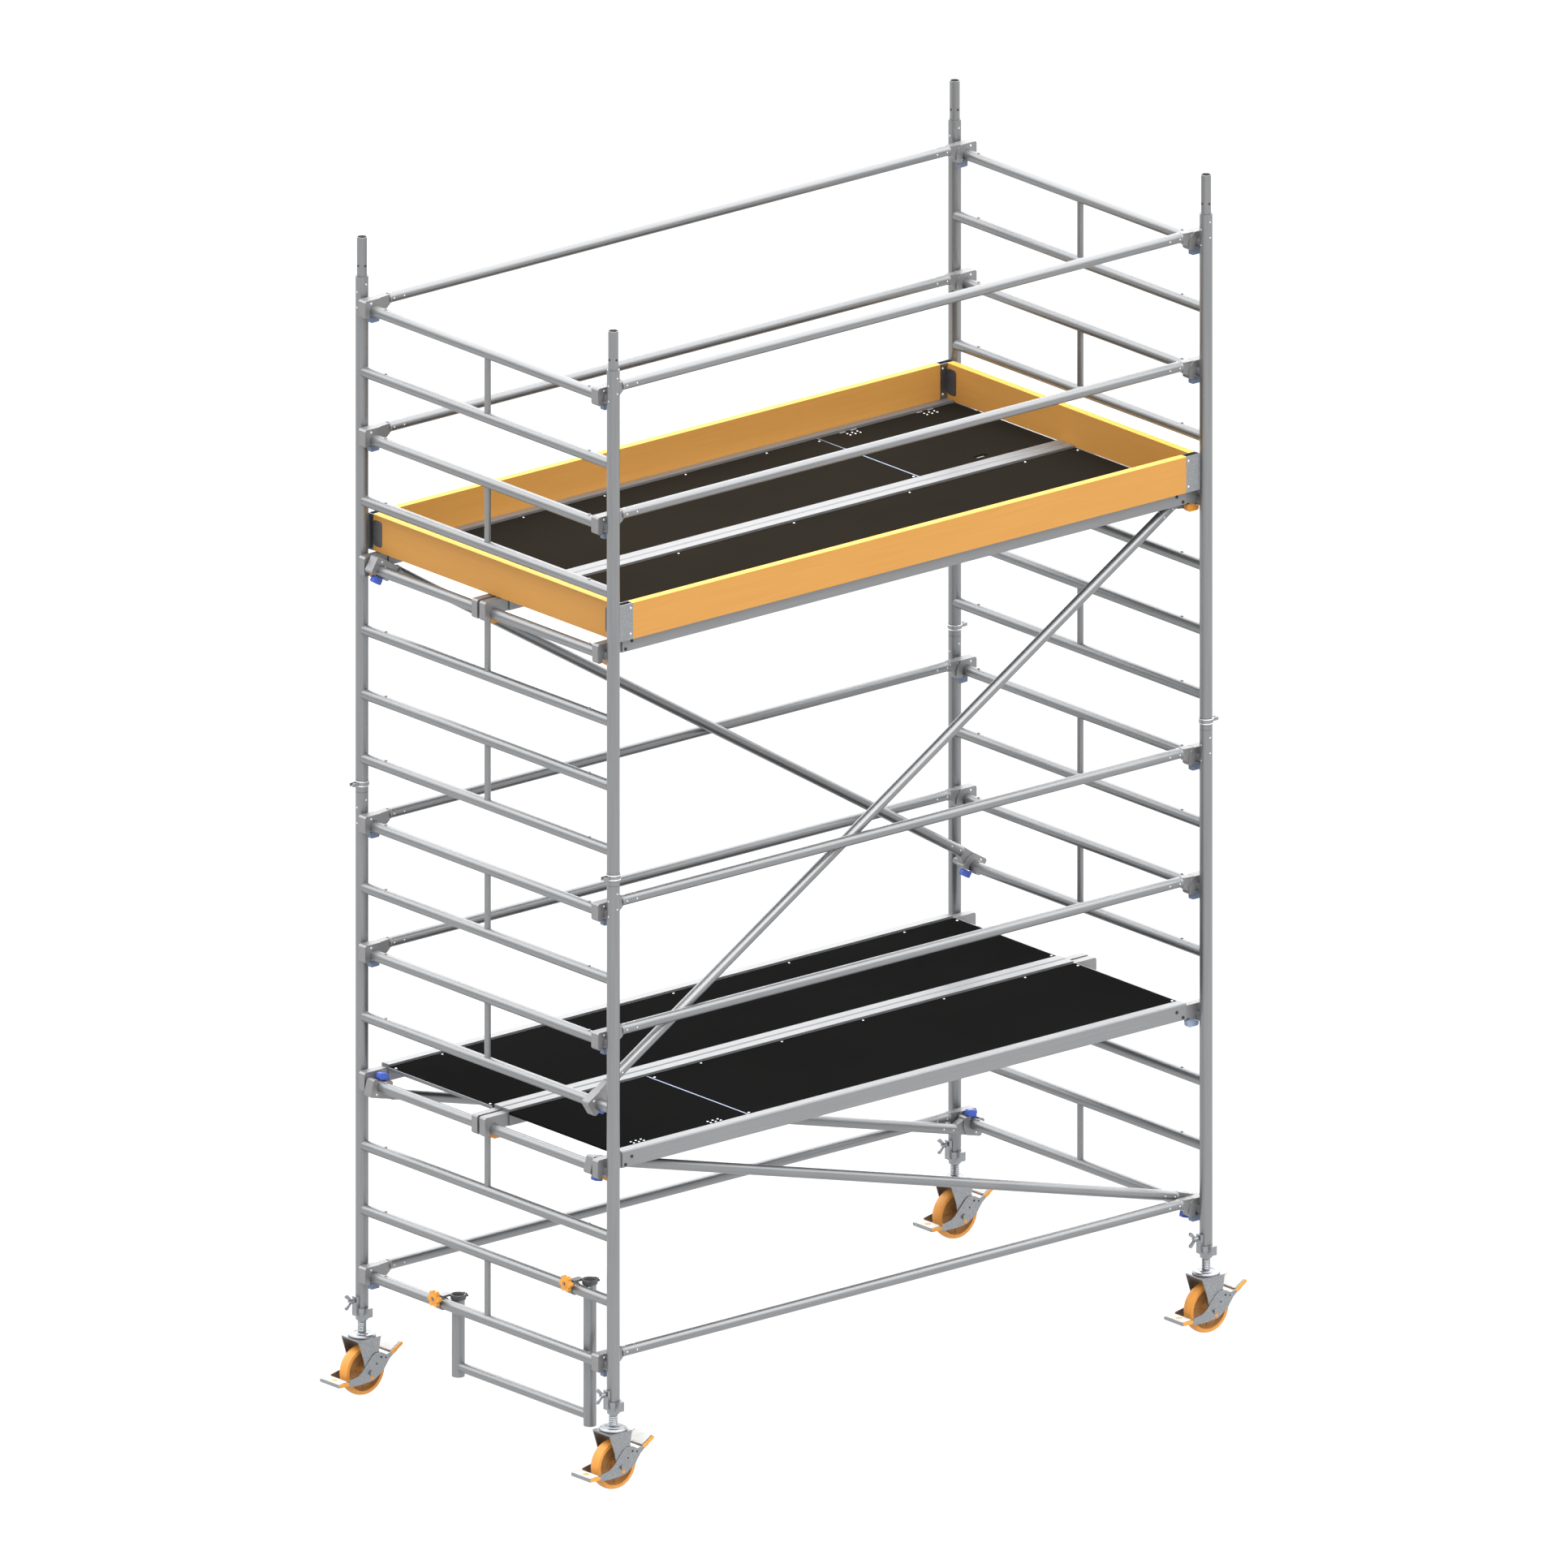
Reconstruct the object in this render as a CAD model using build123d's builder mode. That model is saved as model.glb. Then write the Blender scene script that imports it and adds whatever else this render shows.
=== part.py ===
from build123d import *
import os
from math import hypot

# A mobile access tower in aluminium tube: two bays of ladder frames stacked on spigots,
# joined by horizontal and diagonal braces with claws, two levels of paired decks,
# toe boards round the upper level, an entry step and four spindle castors.
# Millimetres, +Z up, origin on the floor under the centre of the four posts.
# X runs along the tower's length, Y along the ladder rungs.

os.makedirs("parts", exist_ok=True)

# ---------------------------------------------------------------- driving dimensions
bay_length = 2850.0  # post centre to post centre along X
bay_width = 1440.0  # post centre to post centre along Y
base_height = 340.0  # floor to the lower end of the posts
frame_height = 2000.0  # one ladder frame
frame_tiers = 2

post_r = 24.15
post_wall = 3.0
rung_r = 21.2
rung_wall = 2.0
rung_pitch = 250.0
rungs_per_frame = 8
first_rung = 130.0  # frame's lower end to its lowest rung
stub_r = 12.0  # short uprights between pairs of rungs
stub_wall = 2.0
weld_seam = 0.1  # root gap left for the weld between two tubes
joint_gap = 1.0  # between two stacked posts

spigot_r = 19.0
spigot_length = 150.0  # standing out of the post
spigot_seat = 120.0  # pressed into the post
spigot_wall = 3.0
press_gap = 0.05
clip_height = 23.0
clip_wall = 3.0
clip_above_joint = 21.0
clip_lug = 27.0  # prongs' reach past the post
clip_prong_t = 5.0
clip_prong_gap = 17.0
clip_prong_h = 13.0

brace_r = 20.0
brace_wall = 2.0
brace_inset = 53.0  # horizontal braces inboard of the posts' axes
diagonal_inset = 94.0  # diagonal braces, beside the deck claws
brace_over_rung = 28.5  # brace axis above the rung axis
brace_levels = (1, 3, 9, 11, 16)  # rungs counted from the top

claw_width = 39.0
claw_neck_w = 30.0
claw_reach = 45.0  # outboard of the rung axis
claw_top = 44.0
claw_head = 27.0  # inboard end of the head's flat top
claw_drop = rung_r + 2.8
claw_leg = 52.0  # inboard face of the inner leg
claw_neck = 78.0  # where the tube starts
claw_plug = 50.0
claw_clearance = 0.4  # claw mouth over rung
claw_round = 6.0
latch_width = 20.0
latch_gap = 1.0
latch_span = (-10.0, 32.0)  # from the rung axis, inboard
latch_drop = 24.0
deck_latch_span = (0.0, 55.0)
deck_latch_heights = (-41.0, -10.0)

deck_post_gap = 30.5  # outer rail's face inboard of the posts' axes
deck_gap = 3.0  # between the two decks of a level
deck_levels = (5, 13)
deck_rail_w = 42.0
deck_rail_h = 63.0
deck_rail_round = 6.0
deck_rail_wall = 2.5
deck_bottom = -1.5  # deck's underside from the rung axis
deck_rail_start = 69.0  # rail's end inboard of the rung axis
deck_panel_t = 9.0
deck_panel_drop = 8.5  # panel's top below the rail's top
deck_panel_start = 64.0  # panel's end inboard of the rung axis
beam_w = 40.0
beam_h = 24.0
beam_wall = 2.0
beam_count = 6
beam_inset = bay_length / 47.5  # end beams from the board's ends, clear of the diagonals
panel_gap = 2.0  # panel edge to rail
hatch_length = 660.0
hatch_gap = 3.0
deck_claw_w = 32.0
deck_claw_top = 50.0
deck_claw_drop = 9.0  # inner leg below the rung axis

hinge_r = 3.0
hinge_pin_r = 1.4
hinge_length = 80.0
hinge_middle = 24.0
hinge_inset = 4.0  # hinge axis from the rail's inner face
hinge_notch = 10.0
hinge_spots = (0.22, 0.78)  # along the hatch
hinge_leaf = 46.0
hinge_leaf_t = 2.0
hinge_wall_leaf = 16.0
hinge_fit = 0.1
finger_hole = (62.0, 24.0)
finger_hole_in = 60.0  # from the rail's face

toe_height = 140.5
toe_thick = 30.0
toe_rise = 54.0  # boards' lower edge above the rung axis
toe_gap = 0.5  # side board outside the deck rail
toe_side_inset = 95.0  # side board's end inboard of the posts' axes
toe_end_inset = 30.0  # end board's outer face inboard of the rung axis
toe_bracket_t = 3.0
toe_bracket_inset = post_r + 3.85  # bracket's end inboard of the posts' axes
toe_bracket_lip = 23.0

step_r = 24.15
step_wall = 3.0
step_bar_r = 19.0
step_clear = 1.65  # upright to rung
step_near_y = 190.0 - bay_width / 2
step_far_y = bay_width / 2 - 496.0
step_bottom = 186.0
step_bar_z = 225.0
step_above_rung = 30.0
coupler_wall = 4.0
coupler_width = 30.0
coupler_fit = 0.1
ring_height = 18.0
ring_overlap = 6.2  # clamp ring's foot below the rung's top
knob_r = 32.0
knob_length = 16.0
knob_lobes = 6
knob_start = rung_r + 5.3  # knob's inner face outboard of the rung axis
bolt_r = 5.0
bolt_start = rung_r - 9.2  # outboard of the rung axis
bolt_tail = 5.0  # past the knob
bolt_rise = rung_r + 1.8  # clamp bolt above the rung axis

wheel_r = 95.0
tread_crown = 4.5
wheel_width = 42.0
tyre_t = 13.0
hub_width = 90.0
hub_r = 20.0
web_t = 10.0
axle_r = 7.0
axle_fit = 0.1
axle_head_r = 11.0
axle_head_t = 6.0
fork_inner = 46.0  # wheel's middle to the inside of the fork's cheek
fork_cheek = 4.0
cheek_foot_r = 24.0
fork_front = 57.0
fork_back = 48.0
fork_over_wheel = 38.0
fork_plate_t = 6.0
race_r = 52.0
race_h = 11.0
race_gap = 0.5
kingpin_r = 9.0
kingpin_head_r = 15.0
kingpin_head_h = 7.0
spindle_r = 17.25
spindle_bore = 9.0
spindle_length = 330.0
nut_height = 49.0  # nut's foot below the post's
nut_wall = 5.85  # outside the post's radius
nut_foot_r = 23.0
nut_fit = 0.1
nut_seat = 0.4  # nut's top face under the post
nut_lug = 47.0
nut_lug_w = 26.0
nut_lug_h = 35.0
nut_arm_rise = 45.0  # arm's top above the post's foot
nut_arm_h = 74.0
nut_arm_t = 12.5
wing_rise = 30.0  # wing screw above the post's foot
wing_shaft_r = 5.0
wing_hub_r = 9.0
wing_hub_length = 18.0
wing_hub_out = 52.0  # hub's middle from the post's axis
wing_lobe_out = 74.5
wing_lobe_rise = 22.7
wing_lobe_r = 7.5
wing_t = 6.0
wing_tip_gap = 0.4
lever_gap = 1.0  # lever cheek outside the fork
lever_t = 3.0
pedal_t = 13.0
pedal_drop = 28.0  # lower pedal's underside below the axle
pedal_length = 50.0
pedal_clear = 11.0  # lower pedal's root outside the wheel
upper_pedal_clear = 3.0
upper_pedal_rise = 57.0
upper_pedal_run = (52.0, 31.0)

# ---------------------------------------------------------------- derived places
half_length = bay_length / 2
half_width = bay_width / 2
brace_y = half_width - brace_inset
diagonal_y = half_width - diagonal_inset
deck_width = half_width - deck_post_gap - deck_gap / 2
post_bore = post_r - post_wall
frame_bottoms = [base_height + tier * frame_height for tier in range(frame_tiers)]
tower_top = base_height + frame_tiers * frame_height
rung_total = rungs_per_frame * frame_tiers
posts = {
    "rear_left": (-half_length, half_width),
    "front_left": (-half_length, -half_width),
    "rear_right": (half_length, half_width),
    "front_right": (half_length, -half_width),
}


def rung_height(number):
    """Height of a rung's axis, with rung 1 at the top of the tower."""
    tier = frame_tiers - 1 - (number - 1) // rungs_per_frame
    step = rungs_per_frame - 1 - (number - 1) % rungs_per_frame
    return frame_bottoms[tier] + first_rung + step * rung_pitch


def finish(builder, name):
    """Label a finished piece and write it."""
    builder.part.label = name
    export_step(builder.part, f"parts/{name}.step")


def tube(start, direction, length, outer, bore=0.0):
    """A round tube or bar, added to the open part."""
    with BuildSketch(Plane(origin=start, z_dir=direction)) as ring:
        Circle(outer)
        if bore > 0:
            Circle(bore, mode=Mode.SUBTRACT)
    extrude(ring.sketch, amount=length)


def slab(low, high, mode=Mode.ADD):
    """A square-edged block between two corners, in the open part."""
    centre = ((low[0] + high[0]) / 2, (low[1] + high[1]) / 2)
    with BuildSketch(Plane.XY.offset(low[2])) as outline:
        with Locations(centre):
            Rectangle(high[0] - low[0], high[1] - low[1])
    extrude(outline.sketch, amount=high[2] - low[2], mode=mode)


# ---------------------------------------------------------------- ladder frames
with BuildPart() as stub_pattern:
    tube((0, 0, 0), (0, 0, 1), rung_pitch, stub_r, stub_r - stub_wall)
    for end in (0, rung_pitch):
        with BuildSketch(Plane(origin=(0, -half_width, end), z_dir=(0, 1, 0))) as cope_round:
            Circle(rung_r + weld_seam)
        extrude(cope_round.sketch, amount=bay_width, mode=Mode.SUBTRACT)


def ladder_frame(name, x, bottom):
    """Two posts, the rungs coped between them and the short uprights, all tube."""
    upright = frame_height - joint_gap
    low = bottom + joint_gap / 2
    with BuildPart() as frame:
        for step in range(rungs_per_frame):
            z = bottom + first_rung + step * rung_pitch
            tube((x, -half_width, z), (0, 1, 0), bay_width, rung_r, rung_r - rung_wall)
        for side in (-1, 1):
            with BuildSketch(Plane.XY.offset(low)) as post_round:
                with Locations((x, side * half_width)):
                    Circle(post_r + weld_seam)
            extrude(post_round.sketch, amount=upright, mode=Mode.SUBTRACT)
        pairs = [bottom + first_rung + 2 * pair * rung_pitch for pair in range(rungs_per_frame // 2)]
        with Locations([(x, 0, z) for z in pairs]):
            add(stub_pattern.part)
        for side in (-1, 1):
            tube((x, side * half_width, low), (0, 0, 1), upright, post_r, post_bore)
    finish(frame, name)


for tier, tier_name in enumerate(("lower", "upper")):
    ladder_frame(f"{tier_name}_left_frame", -half_length, frame_bottoms[tier])
    ladder_frame(f"{tier_name}_right_frame", half_length, frame_bottoms[tier])

with BuildPart() as frame_spigots:
    for bottom in frame_bottoms:
        shoulder = bottom + frame_height
        for x, y in posts.values():
            tube((x, y, shoulder - spigot_seat), (0, 0, 1), spigot_seat - joint_gap,
                 post_bore - press_gap, spigot_r - spigot_wall)
            tube((x, y, shoulder - joint_gap), (0, 0, 1), spigot_length + joint_gap,
                 spigot_r, spigot_r - spigot_wall)
finish(frame_spigots, "frame_spigots")

with BuildPart() as joint_clips:
    for x, y in posts.values():
        out = 1 if x > 0 else -1
        z = frame_bottoms[1] + clip_above_joint
        tube((x, y, z), (0, 0, 1), clip_height, post_r + press_gap + clip_wall, post_r + press_gap)
        near, far = sorted((x + out * (post_r + clip_wall / 2), x + out * (post_r + clip_lug)))
        prong_low = z + (clip_height - clip_prong_h) / 2
        for row in (-1, 1):
            middle = y + row * clip_prong_gap / 2
            slab((near, middle - clip_prong_t / 2, prong_low),
                 (far, middle + clip_prong_t / 2, prong_low + clip_prong_h))
finish(joint_clips, "joint_clips")


# ---------------------------------------------------------------- braces and their claws
def hook_outline(top, drop, leg_drop, inner):
    """Side view of a hook over the rung, x inboard, y up, rung axis at 0, 0."""
    mouth = rung_r + claw_clearance
    with BuildSketch(Plane.XZ) as side:
        with BuildLine():
            Polyline((-mouth, 0), (-mouth, -drop), (-claw_reach + claw_round, -drop),
                     (-claw_reach, -drop + claw_round), (-claw_reach, top - claw_round),
                     (-claw_reach + claw_round, top), *inner,
                     (claw_leg - claw_round, -leg_drop), (mouth, -leg_drop), (mouth, 0))
            ThreePointArc((mouth, 0), (0, mouth), (-mouth, 0))
        make_face()
    return side.sketch


brace_low = brace_over_rung - brace_r
brace_high = brace_over_rung + brace_r
claw_inner = [(claw_head, claw_top), (claw_leg - claw_round, brace_over_rung - claw_round),
              (claw_leg, brace_low), (claw_leg, claw_round - claw_drop)]

with BuildPart() as claw_pattern:
    extrude(hook_outline(claw_top, claw_drop, claw_drop, claw_inner), amount=claw_width / 2, both=True)
    with BuildSketch(Plane.XZ) as neck_side:
        with BuildLine():
            Polyline((claw_head - claw_round, claw_top - 1), (claw_neck, brace_high - brace_wall),
                     (claw_neck, brace_low), (claw_leg, -claw_drop / 2),
                     (claw_leg / 2 + claw_round, -claw_drop / 2), close=True)
        make_face()
    extrude(neck_side.sketch, amount=claw_neck_w / 2, both=True)
    tube((claw_neck - 1, 0, brace_over_rung), (1, 0, 0), claw_plug,
         brace_r - brace_wall - press_gap)

with BuildPart() as latch_pattern:
    latch_middle = (sum(latch_span) / 2, -claw_drop - latch_gap - latch_drop / 2)
    with BuildSketch(Plane.XZ) as latch_side:
        with Locations(latch_middle):
            RectangleRounded(latch_span[1] - latch_span[0], latch_drop, claw_round)
    extrude(amount=latch_width / 2, both=True)


def brace_ends(start, end, up):
    """Length and the directions along, square to and back along a brace; up is -1 under the rungs."""
    run = (end[0] - start[0], 0, end[1] - start[1])
    size = hypot(run[0], run[2])
    along = (run[0] / size, 0, run[2] / size)
    square = (-up * along[2], 0, up * along[0])
    back = (-along[0], 0, -along[2])
    return size, along, square, back


def brace_places(start, end, y, up=1):
    """Location of each end claw."""
    size, along, square, back = brace_ends(start, end, up)
    return [
        Location(Plane(origin=(start[0], y, start[1]), x_dir=along, z_dir=square)),
        Location(Plane(origin=(end[0], y, end[1]), x_dir=back, z_dir=square)),
    ]


def brace_tube(start, end, y, up=1):
    """The tube between the two claws of one brace."""
    size, along, square, back = brace_ends(start, end, up)
    first = (
        start[0] + along[0] * claw_neck + square[0] * brace_over_rung,
        y,
        start[1] + along[2] * claw_neck + square[2] * brace_over_rung,
    )
    tube(first, along, size - 2 * claw_neck, brace_r, brace_r - brace_wall)


claw_places = []
diagonal_places = []
for side, side_name in ((-1, "front"), (1, "rear")):
    with BuildPart() as braces:
        for level in brace_levels:
            z = rung_height(level)
            brace_tube((-half_length, z), (half_length, z), side * brace_y)
            claw_places += brace_places((-half_length, z), (half_length, z), side * brace_y)
    finish(braces, f"{side_name}_horizontal_braces")

# each diagonal runs from a rung of the left frame to a rung of the right frame;
# the last number is 1 when it hooks over the rungs and -1 when it hooks on from below
diagonals = {
    "front_upper_diagonal": (-1, 12, 5, 1),
    "rear_upper_diagonal": (1, 5, 12, 1),
    "front_lower_diagonal": (-1, 13, 16, 1),
    "rear_lower_diagonal": (1, 13, 16, -1),
}
for name, (side, left_rung, right_rung, up) in diagonals.items():
    start = (-half_length, rung_height(left_rung))
    end = (half_length, rung_height(right_rung))
    with BuildPart() as diagonal:
        brace_tube(start, end, side * diagonal_y, up)
    finish(diagonal, name)
    diagonal_places += brace_places(start, end, side * diagonal_y, up)

with BuildPart() as brace_claws:
    with Locations(claw_places):
        add(claw_pattern.part)
    with Locations(diagonal_places):
        add(claw_pattern.part)
finish(brace_claws, "brace_claws")

with BuildPart() as grey_latches:
    with Locations(claw_places):
        add(latch_pattern.part)
finish(grey_latches, "grey_brace_latches")

with BuildPart() as blue_latches:
    with Locations(diagonal_places):
        add(latch_pattern.part)
finish(blue_latches, "blue_diagonal_latches")

# ---------------------------------------------------------------- decks
deck_outer = deck_gap / 2 + deck_width
rail_inner = deck_gap / 2 + deck_rail_w
rail_outer = deck_outer - deck_rail_w
rail_half = half_length - deck_rail_start
panel_half = half_length - deck_panel_start
hatch_end = panel_half - hatch_length

# side: -1 front deck, 1 rear deck; hatch: -1 at the left end, 1 at the right end, 0 none
decks = {
    "lower_front": (13, -1, -1),
    "lower_rear": (13, 1, 0),
    "upper_front": (5, -1, 0),
    "upper_rear": (5, 1, 1),
}


def deck_heights(level):
    """Underside of the rails, their top and the walking surface."""
    low = rung_height(level) + deck_bottom
    top = low + deck_rail_h
    return low, top, top - deck_panel_drop


def hatch_span(hatch):
    """Start and end of the hatch along X, lowest first."""
    ends = (hatch * hatch_end, hatch * panel_half)
    return min(ends), max(ends)


def hatch_hinge_centres(hatch):
    """Middle of each hinge along X."""
    low, high = hatch_span(hatch)
    return [low + spot * (high - low) for spot in hinge_spots]


def deck_frame(name, level, side, hatch):
    """Two box rails and the beams between them."""
    low, top, walk = deck_heights(level)
    beam_top = walk - deck_panel_t
    edges = sorted((side * (rail_inner + weld_seam), side * (rail_outer - weld_seam)))
    span = panel_half - beam_inset - beam_w / 2
    centres = [-span + index * 2 * span / (beam_count - 1) for index in range(beam_count)]
    if hatch:
        joint = hatch * hatch_end
        nearest = min(range(1, beam_count - 1), key=lambda index: abs(centres[index] - joint))
        centres[nearest] = joint
    with BuildPart() as frame:
        inner_rail = (rail_inner - deck_rail_w / 2, deck_gap / 2)
        outer_rail = (rail_outer + deck_rail_w / 2, deck_outer)
        for y, edge in (inner_rail, outer_rail):
            with BuildSketch(Plane.YZ.offset(-rail_half)) as box:
                with Locations((side * y, (low + top) / 2)):
                    Rectangle(deck_rail_w, deck_rail_h)
                shoulder = min(box.vertices(), key=lambda point: hypot(point.X - side * edge, point.Y - top))
                fillet(shoulder, deck_rail_round)
                with Locations((side * y, (low + top) / 2)):
                    Rectangle(deck_rail_w - 2 * deck_rail_wall, deck_rail_h - 2 * deck_rail_wall,
                              mode=Mode.SUBTRACT)
            extrude(box.sketch, amount=2 * rail_half)
        for x in centres:
            with BuildSketch(Plane.XZ.offset(-edges[1])) as box:
                with Locations((x, beam_top - beam_h / 2)):
                    Rectangle(beam_w, beam_h)
                    Rectangle(beam_w - 2 * beam_wall, beam_h - 2 * beam_wall, mode=Mode.SUBTRACT)
            extrude(box.sketch, amount=edges[1] - edges[0])
    finish(frame, f"{name}_deck_frame")


def deck_board(name, level, side, x_low, x_high, notches, label):
    """A flat board between the rails, notched for hinges along its outer edge."""
    low, top, walk = deck_heights(level)
    inner = side * (rail_inner + panel_gap)
    outer = side * (rail_outer - (hinge_inset if notches else panel_gap))
    with BuildPart() as board:
        slab((x_low, min(inner, outer), walk - deck_panel_t + weld_seam),
             (x_high, max(inner, outer), walk))
        for x in notches:
            edge = side * (rail_outer - hinge_notch)
            slab((x - hinge_length / 2 - 1, min(edge, outer + side), walk - deck_panel_t - 1),
                 (x + hinge_length / 2 + 1, max(edge, outer + side), walk + 1), Mode.SUBTRACT)
        if notches:
            with BuildSketch(Plane.XY.offset(walk - deck_panel_t - 1)) as hole:
                with Locations(((x_low + x_high) / 2, side * (rail_inner + finger_hole_in))):
                    SlotOverall(finger_hole[0], finger_hole[1])
            extrude(hole.sketch, amount=deck_panel_t + 2, mode=Mode.SUBTRACT)
            for x in notches:
                moving_leaf(x, side, walk)
    finish(board, label)


def moving_leaf(x, side, walk):
    """The lid's half of a hinge: a knuckle on the pin and a leaf under the board."""
    axis_y = side * (rail_outer - hinge_inset)
    axis_z = walk - hinge_r
    under = walk - deck_panel_t
    half = hinge_middle / 2
    with BuildSketch(Plane.YZ.offset(x - half)) as leaf:
        with Locations((axis_y, axis_z)):
            Circle(hinge_r)
        tongue_low = (axis_y - hinge_pin_r, under - hinge_leaf_t)
        with BuildLine():
            Polyline(tongue_low, (axis_y + hinge_pin_r, under - hinge_leaf_t),
                     (axis_y + hinge_pin_r, axis_z), (axis_y - hinge_pin_r, axis_z), close=True)
        make_face()
        with BuildLine():
            far = axis_y - side * hinge_leaf
            Polyline((axis_y, under - hinge_leaf_t), (far, under - hinge_leaf_t), (far, under),
                     (axis_y, under), close=True)
        make_face()
        with Locations((axis_y, axis_z)):
            Circle(hinge_pin_r + hinge_fit, mode=Mode.SUBTRACT)
    extrude(leaf.sketch, amount=hinge_middle)


for name, (level, side, hatch) in decks.items():
    deck_frame(name, level, side, hatch)
    if hatch:
        lid_low, lid_high = hatch_span(hatch)
        if hatch < 0:
            board_span = (lid_high + hatch_gap, panel_half)
        else:
            board_span = (-panel_half, lid_low - hatch_gap)
        deck_board(name, level, side, *board_span, [], f"{name}_deck_board")
        deck_board(name, level, side, lid_low, lid_high, hatch_hinge_centres(hatch), f"{name}_hatch_lid")
    else:
        deck_board(name, level, side, -panel_half, panel_half, [], f"{name}_deck_board")

with BuildPart() as hatch_hinges:
    for level, side, hatch in decks.values():
        if not hatch:
            continue
        low, top, walk = deck_heights(level)
        axis_y = side * (rail_outer - hinge_inset)
        axis_z = walk - hinge_r
        for x in hatch_hinge_centres(hatch):
            tube((x - hinge_length / 2, axis_y, axis_z), (1, 0, 0), hinge_length, hinge_pin_r)
            knuckle = (hinge_length - hinge_middle) / 2 - hinge_fit
            for start in (x - hinge_length / 2, x + hinge_length / 2 - knuckle):
                tube((start, axis_y, axis_z), (1, 0, 0), knuckle, hinge_r)
                wall = side * (rail_outer - weld_seam)
                slab((start, min(axis_y, wall), axis_z - hinge_wall_leaf),
                     (start + knuckle, max(axis_y, wall), axis_z))
finish(hatch_hinges, "hatch_hinges")

# deck claws: cast hooks plugged into the rail ends
deck_claw_inner = [(deck_rail_start, deck_claw_top), (deck_rail_start, deck_bottom), (claw_leg, deck_bottom)]

with BuildPart() as deck_claw_pattern:
    extrude(hook_outline(deck_claw_top, claw_drop, deck_claw_drop, deck_claw_inner),
            amount=deck_claw_w / 2, both=True)
    plug_w = deck_rail_w / 2 - deck_rail_wall - press_gap
    plug_wall = deck_rail_wall + press_gap
    slab((deck_rail_start - 1, -plug_w, deck_bottom + plug_wall),
         (deck_rail_start + claw_plug, plug_w, deck_bottom + deck_rail_h - plug_wall))

with BuildPart() as deck_latch_pattern:
    latch_low, latch_high = deck_latch_heights
    latch_start, latch_end = deck_latch_span
    under_rung = rung_r + claw_clearance + latch_gap
    with BuildSketch(Plane.XZ) as deck_latch_side:
        with BuildLine():
            Polyline((under_rung, latch_high), (latch_end - 5, latch_high), (latch_end, latch_high - 6),
                     (latch_end - 3, latch_low + 5), (latch_end - 11, latch_low), (latch_start + 6, latch_low),
                     (latch_start, latch_low + 5), (latch_start, -under_rung - 2),
                     (0.45 * under_rung, -under_rung), (0.8 * under_rung, -0.75 * under_rung), close=True)
        make_face()
    extrude(amount=latch_width / 2, both=True)

deck_claw_places = []
for level, side, hatch in decks.values():
    for y in (rail_inner - deck_rail_w / 2, rail_outer + deck_rail_w / 2):
        for end in (-1, 1):
            origin = (end * half_length, side * y, rung_height(level))
            deck_claw_places.append(Location(Plane(origin=origin, x_dir=(-end, 0, 0), z_dir=(0, 0, 1))))

with BuildPart() as deck_claws:
    with Locations(deck_claw_places):
        add(deck_claw_pattern.part)
finish(deck_claws, "deck_claws")

with BuildPart() as deck_latches:
    with Locations(deck_claw_places):
        add(deck_latch_pattern.part)
finish(deck_latches, "orange_deck_latches")

# ---------------------------------------------------------------- toe boards
toe_low = rung_height(deck_levels[0]) + toe_rise
toe_high = toe_low + toe_height
toe_face = deck_outer + toe_gap
toe_outer = toe_face + toe_thick
toe_side_half = half_length - toe_side_inset
toe_end_x = half_length - toe_end_inset
toe_bracket_end = half_length - toe_bracket_inset
for name, side in (("front", -1), ("rear", 1)):
    with BuildPart() as board:
        near, far = sorted((side * toe_face, side * toe_outer))
        slab((-toe_side_half, near, toe_low), (toe_side_half, far, toe_high))
    finish(board, f"{name}_toe_board")
for name, side in (("left", -1), ("right", 1)):
    with BuildPart() as board:
        near, far = sorted((side * toe_end_x, side * (toe_end_x - toe_thick)))
        slab((near, weld_seam - toe_face, toe_low), (far, toe_face - weld_seam, toe_high))
    finish(board, f"{name}_toe_board")

# each bracket is a folded channel on a side board's end, round the end board's edge
with BuildPart() as toe_brackets:
    root = toe_side_half + weld_seam
    for x_side in (-1, 1):
        for y_side in (-1, 1):
            for low, high in (
                ((root, toe_face), (root + toe_bracket_t, toe_outer)),
                ((root, toe_face), (toe_bracket_end, toe_face + toe_bracket_t)),
                ((root, toe_outer - toe_bracket_t), (toe_bracket_end, toe_outer)),
                ((toe_bracket_end - toe_bracket_t, toe_outer - toe_bracket_lip),
                 (toe_bracket_end, toe_outer)),
            ):
                x_pair = sorted((x_side * low[0], x_side * high[0]))
                y_pair = sorted((y_side * low[1], y_side * high[1]))
                slab((x_pair[0], y_pair[0], toe_low), (x_pair[1], y_pair[1], toe_high))
finish(toe_brackets, "toe_board_brackets")

# ---------------------------------------------------------------- entry step
step_axis_x = rung_r + step_r + step_clear - half_length
ring_low = rung_r - ring_overlap
step_posts = {"near": (step_near_y, rung_height(15)), "far": (step_far_y, rung_height(16))}
clamp_r = rung_r + coupler_wall
ring_r = step_r + coupler_wall

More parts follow.
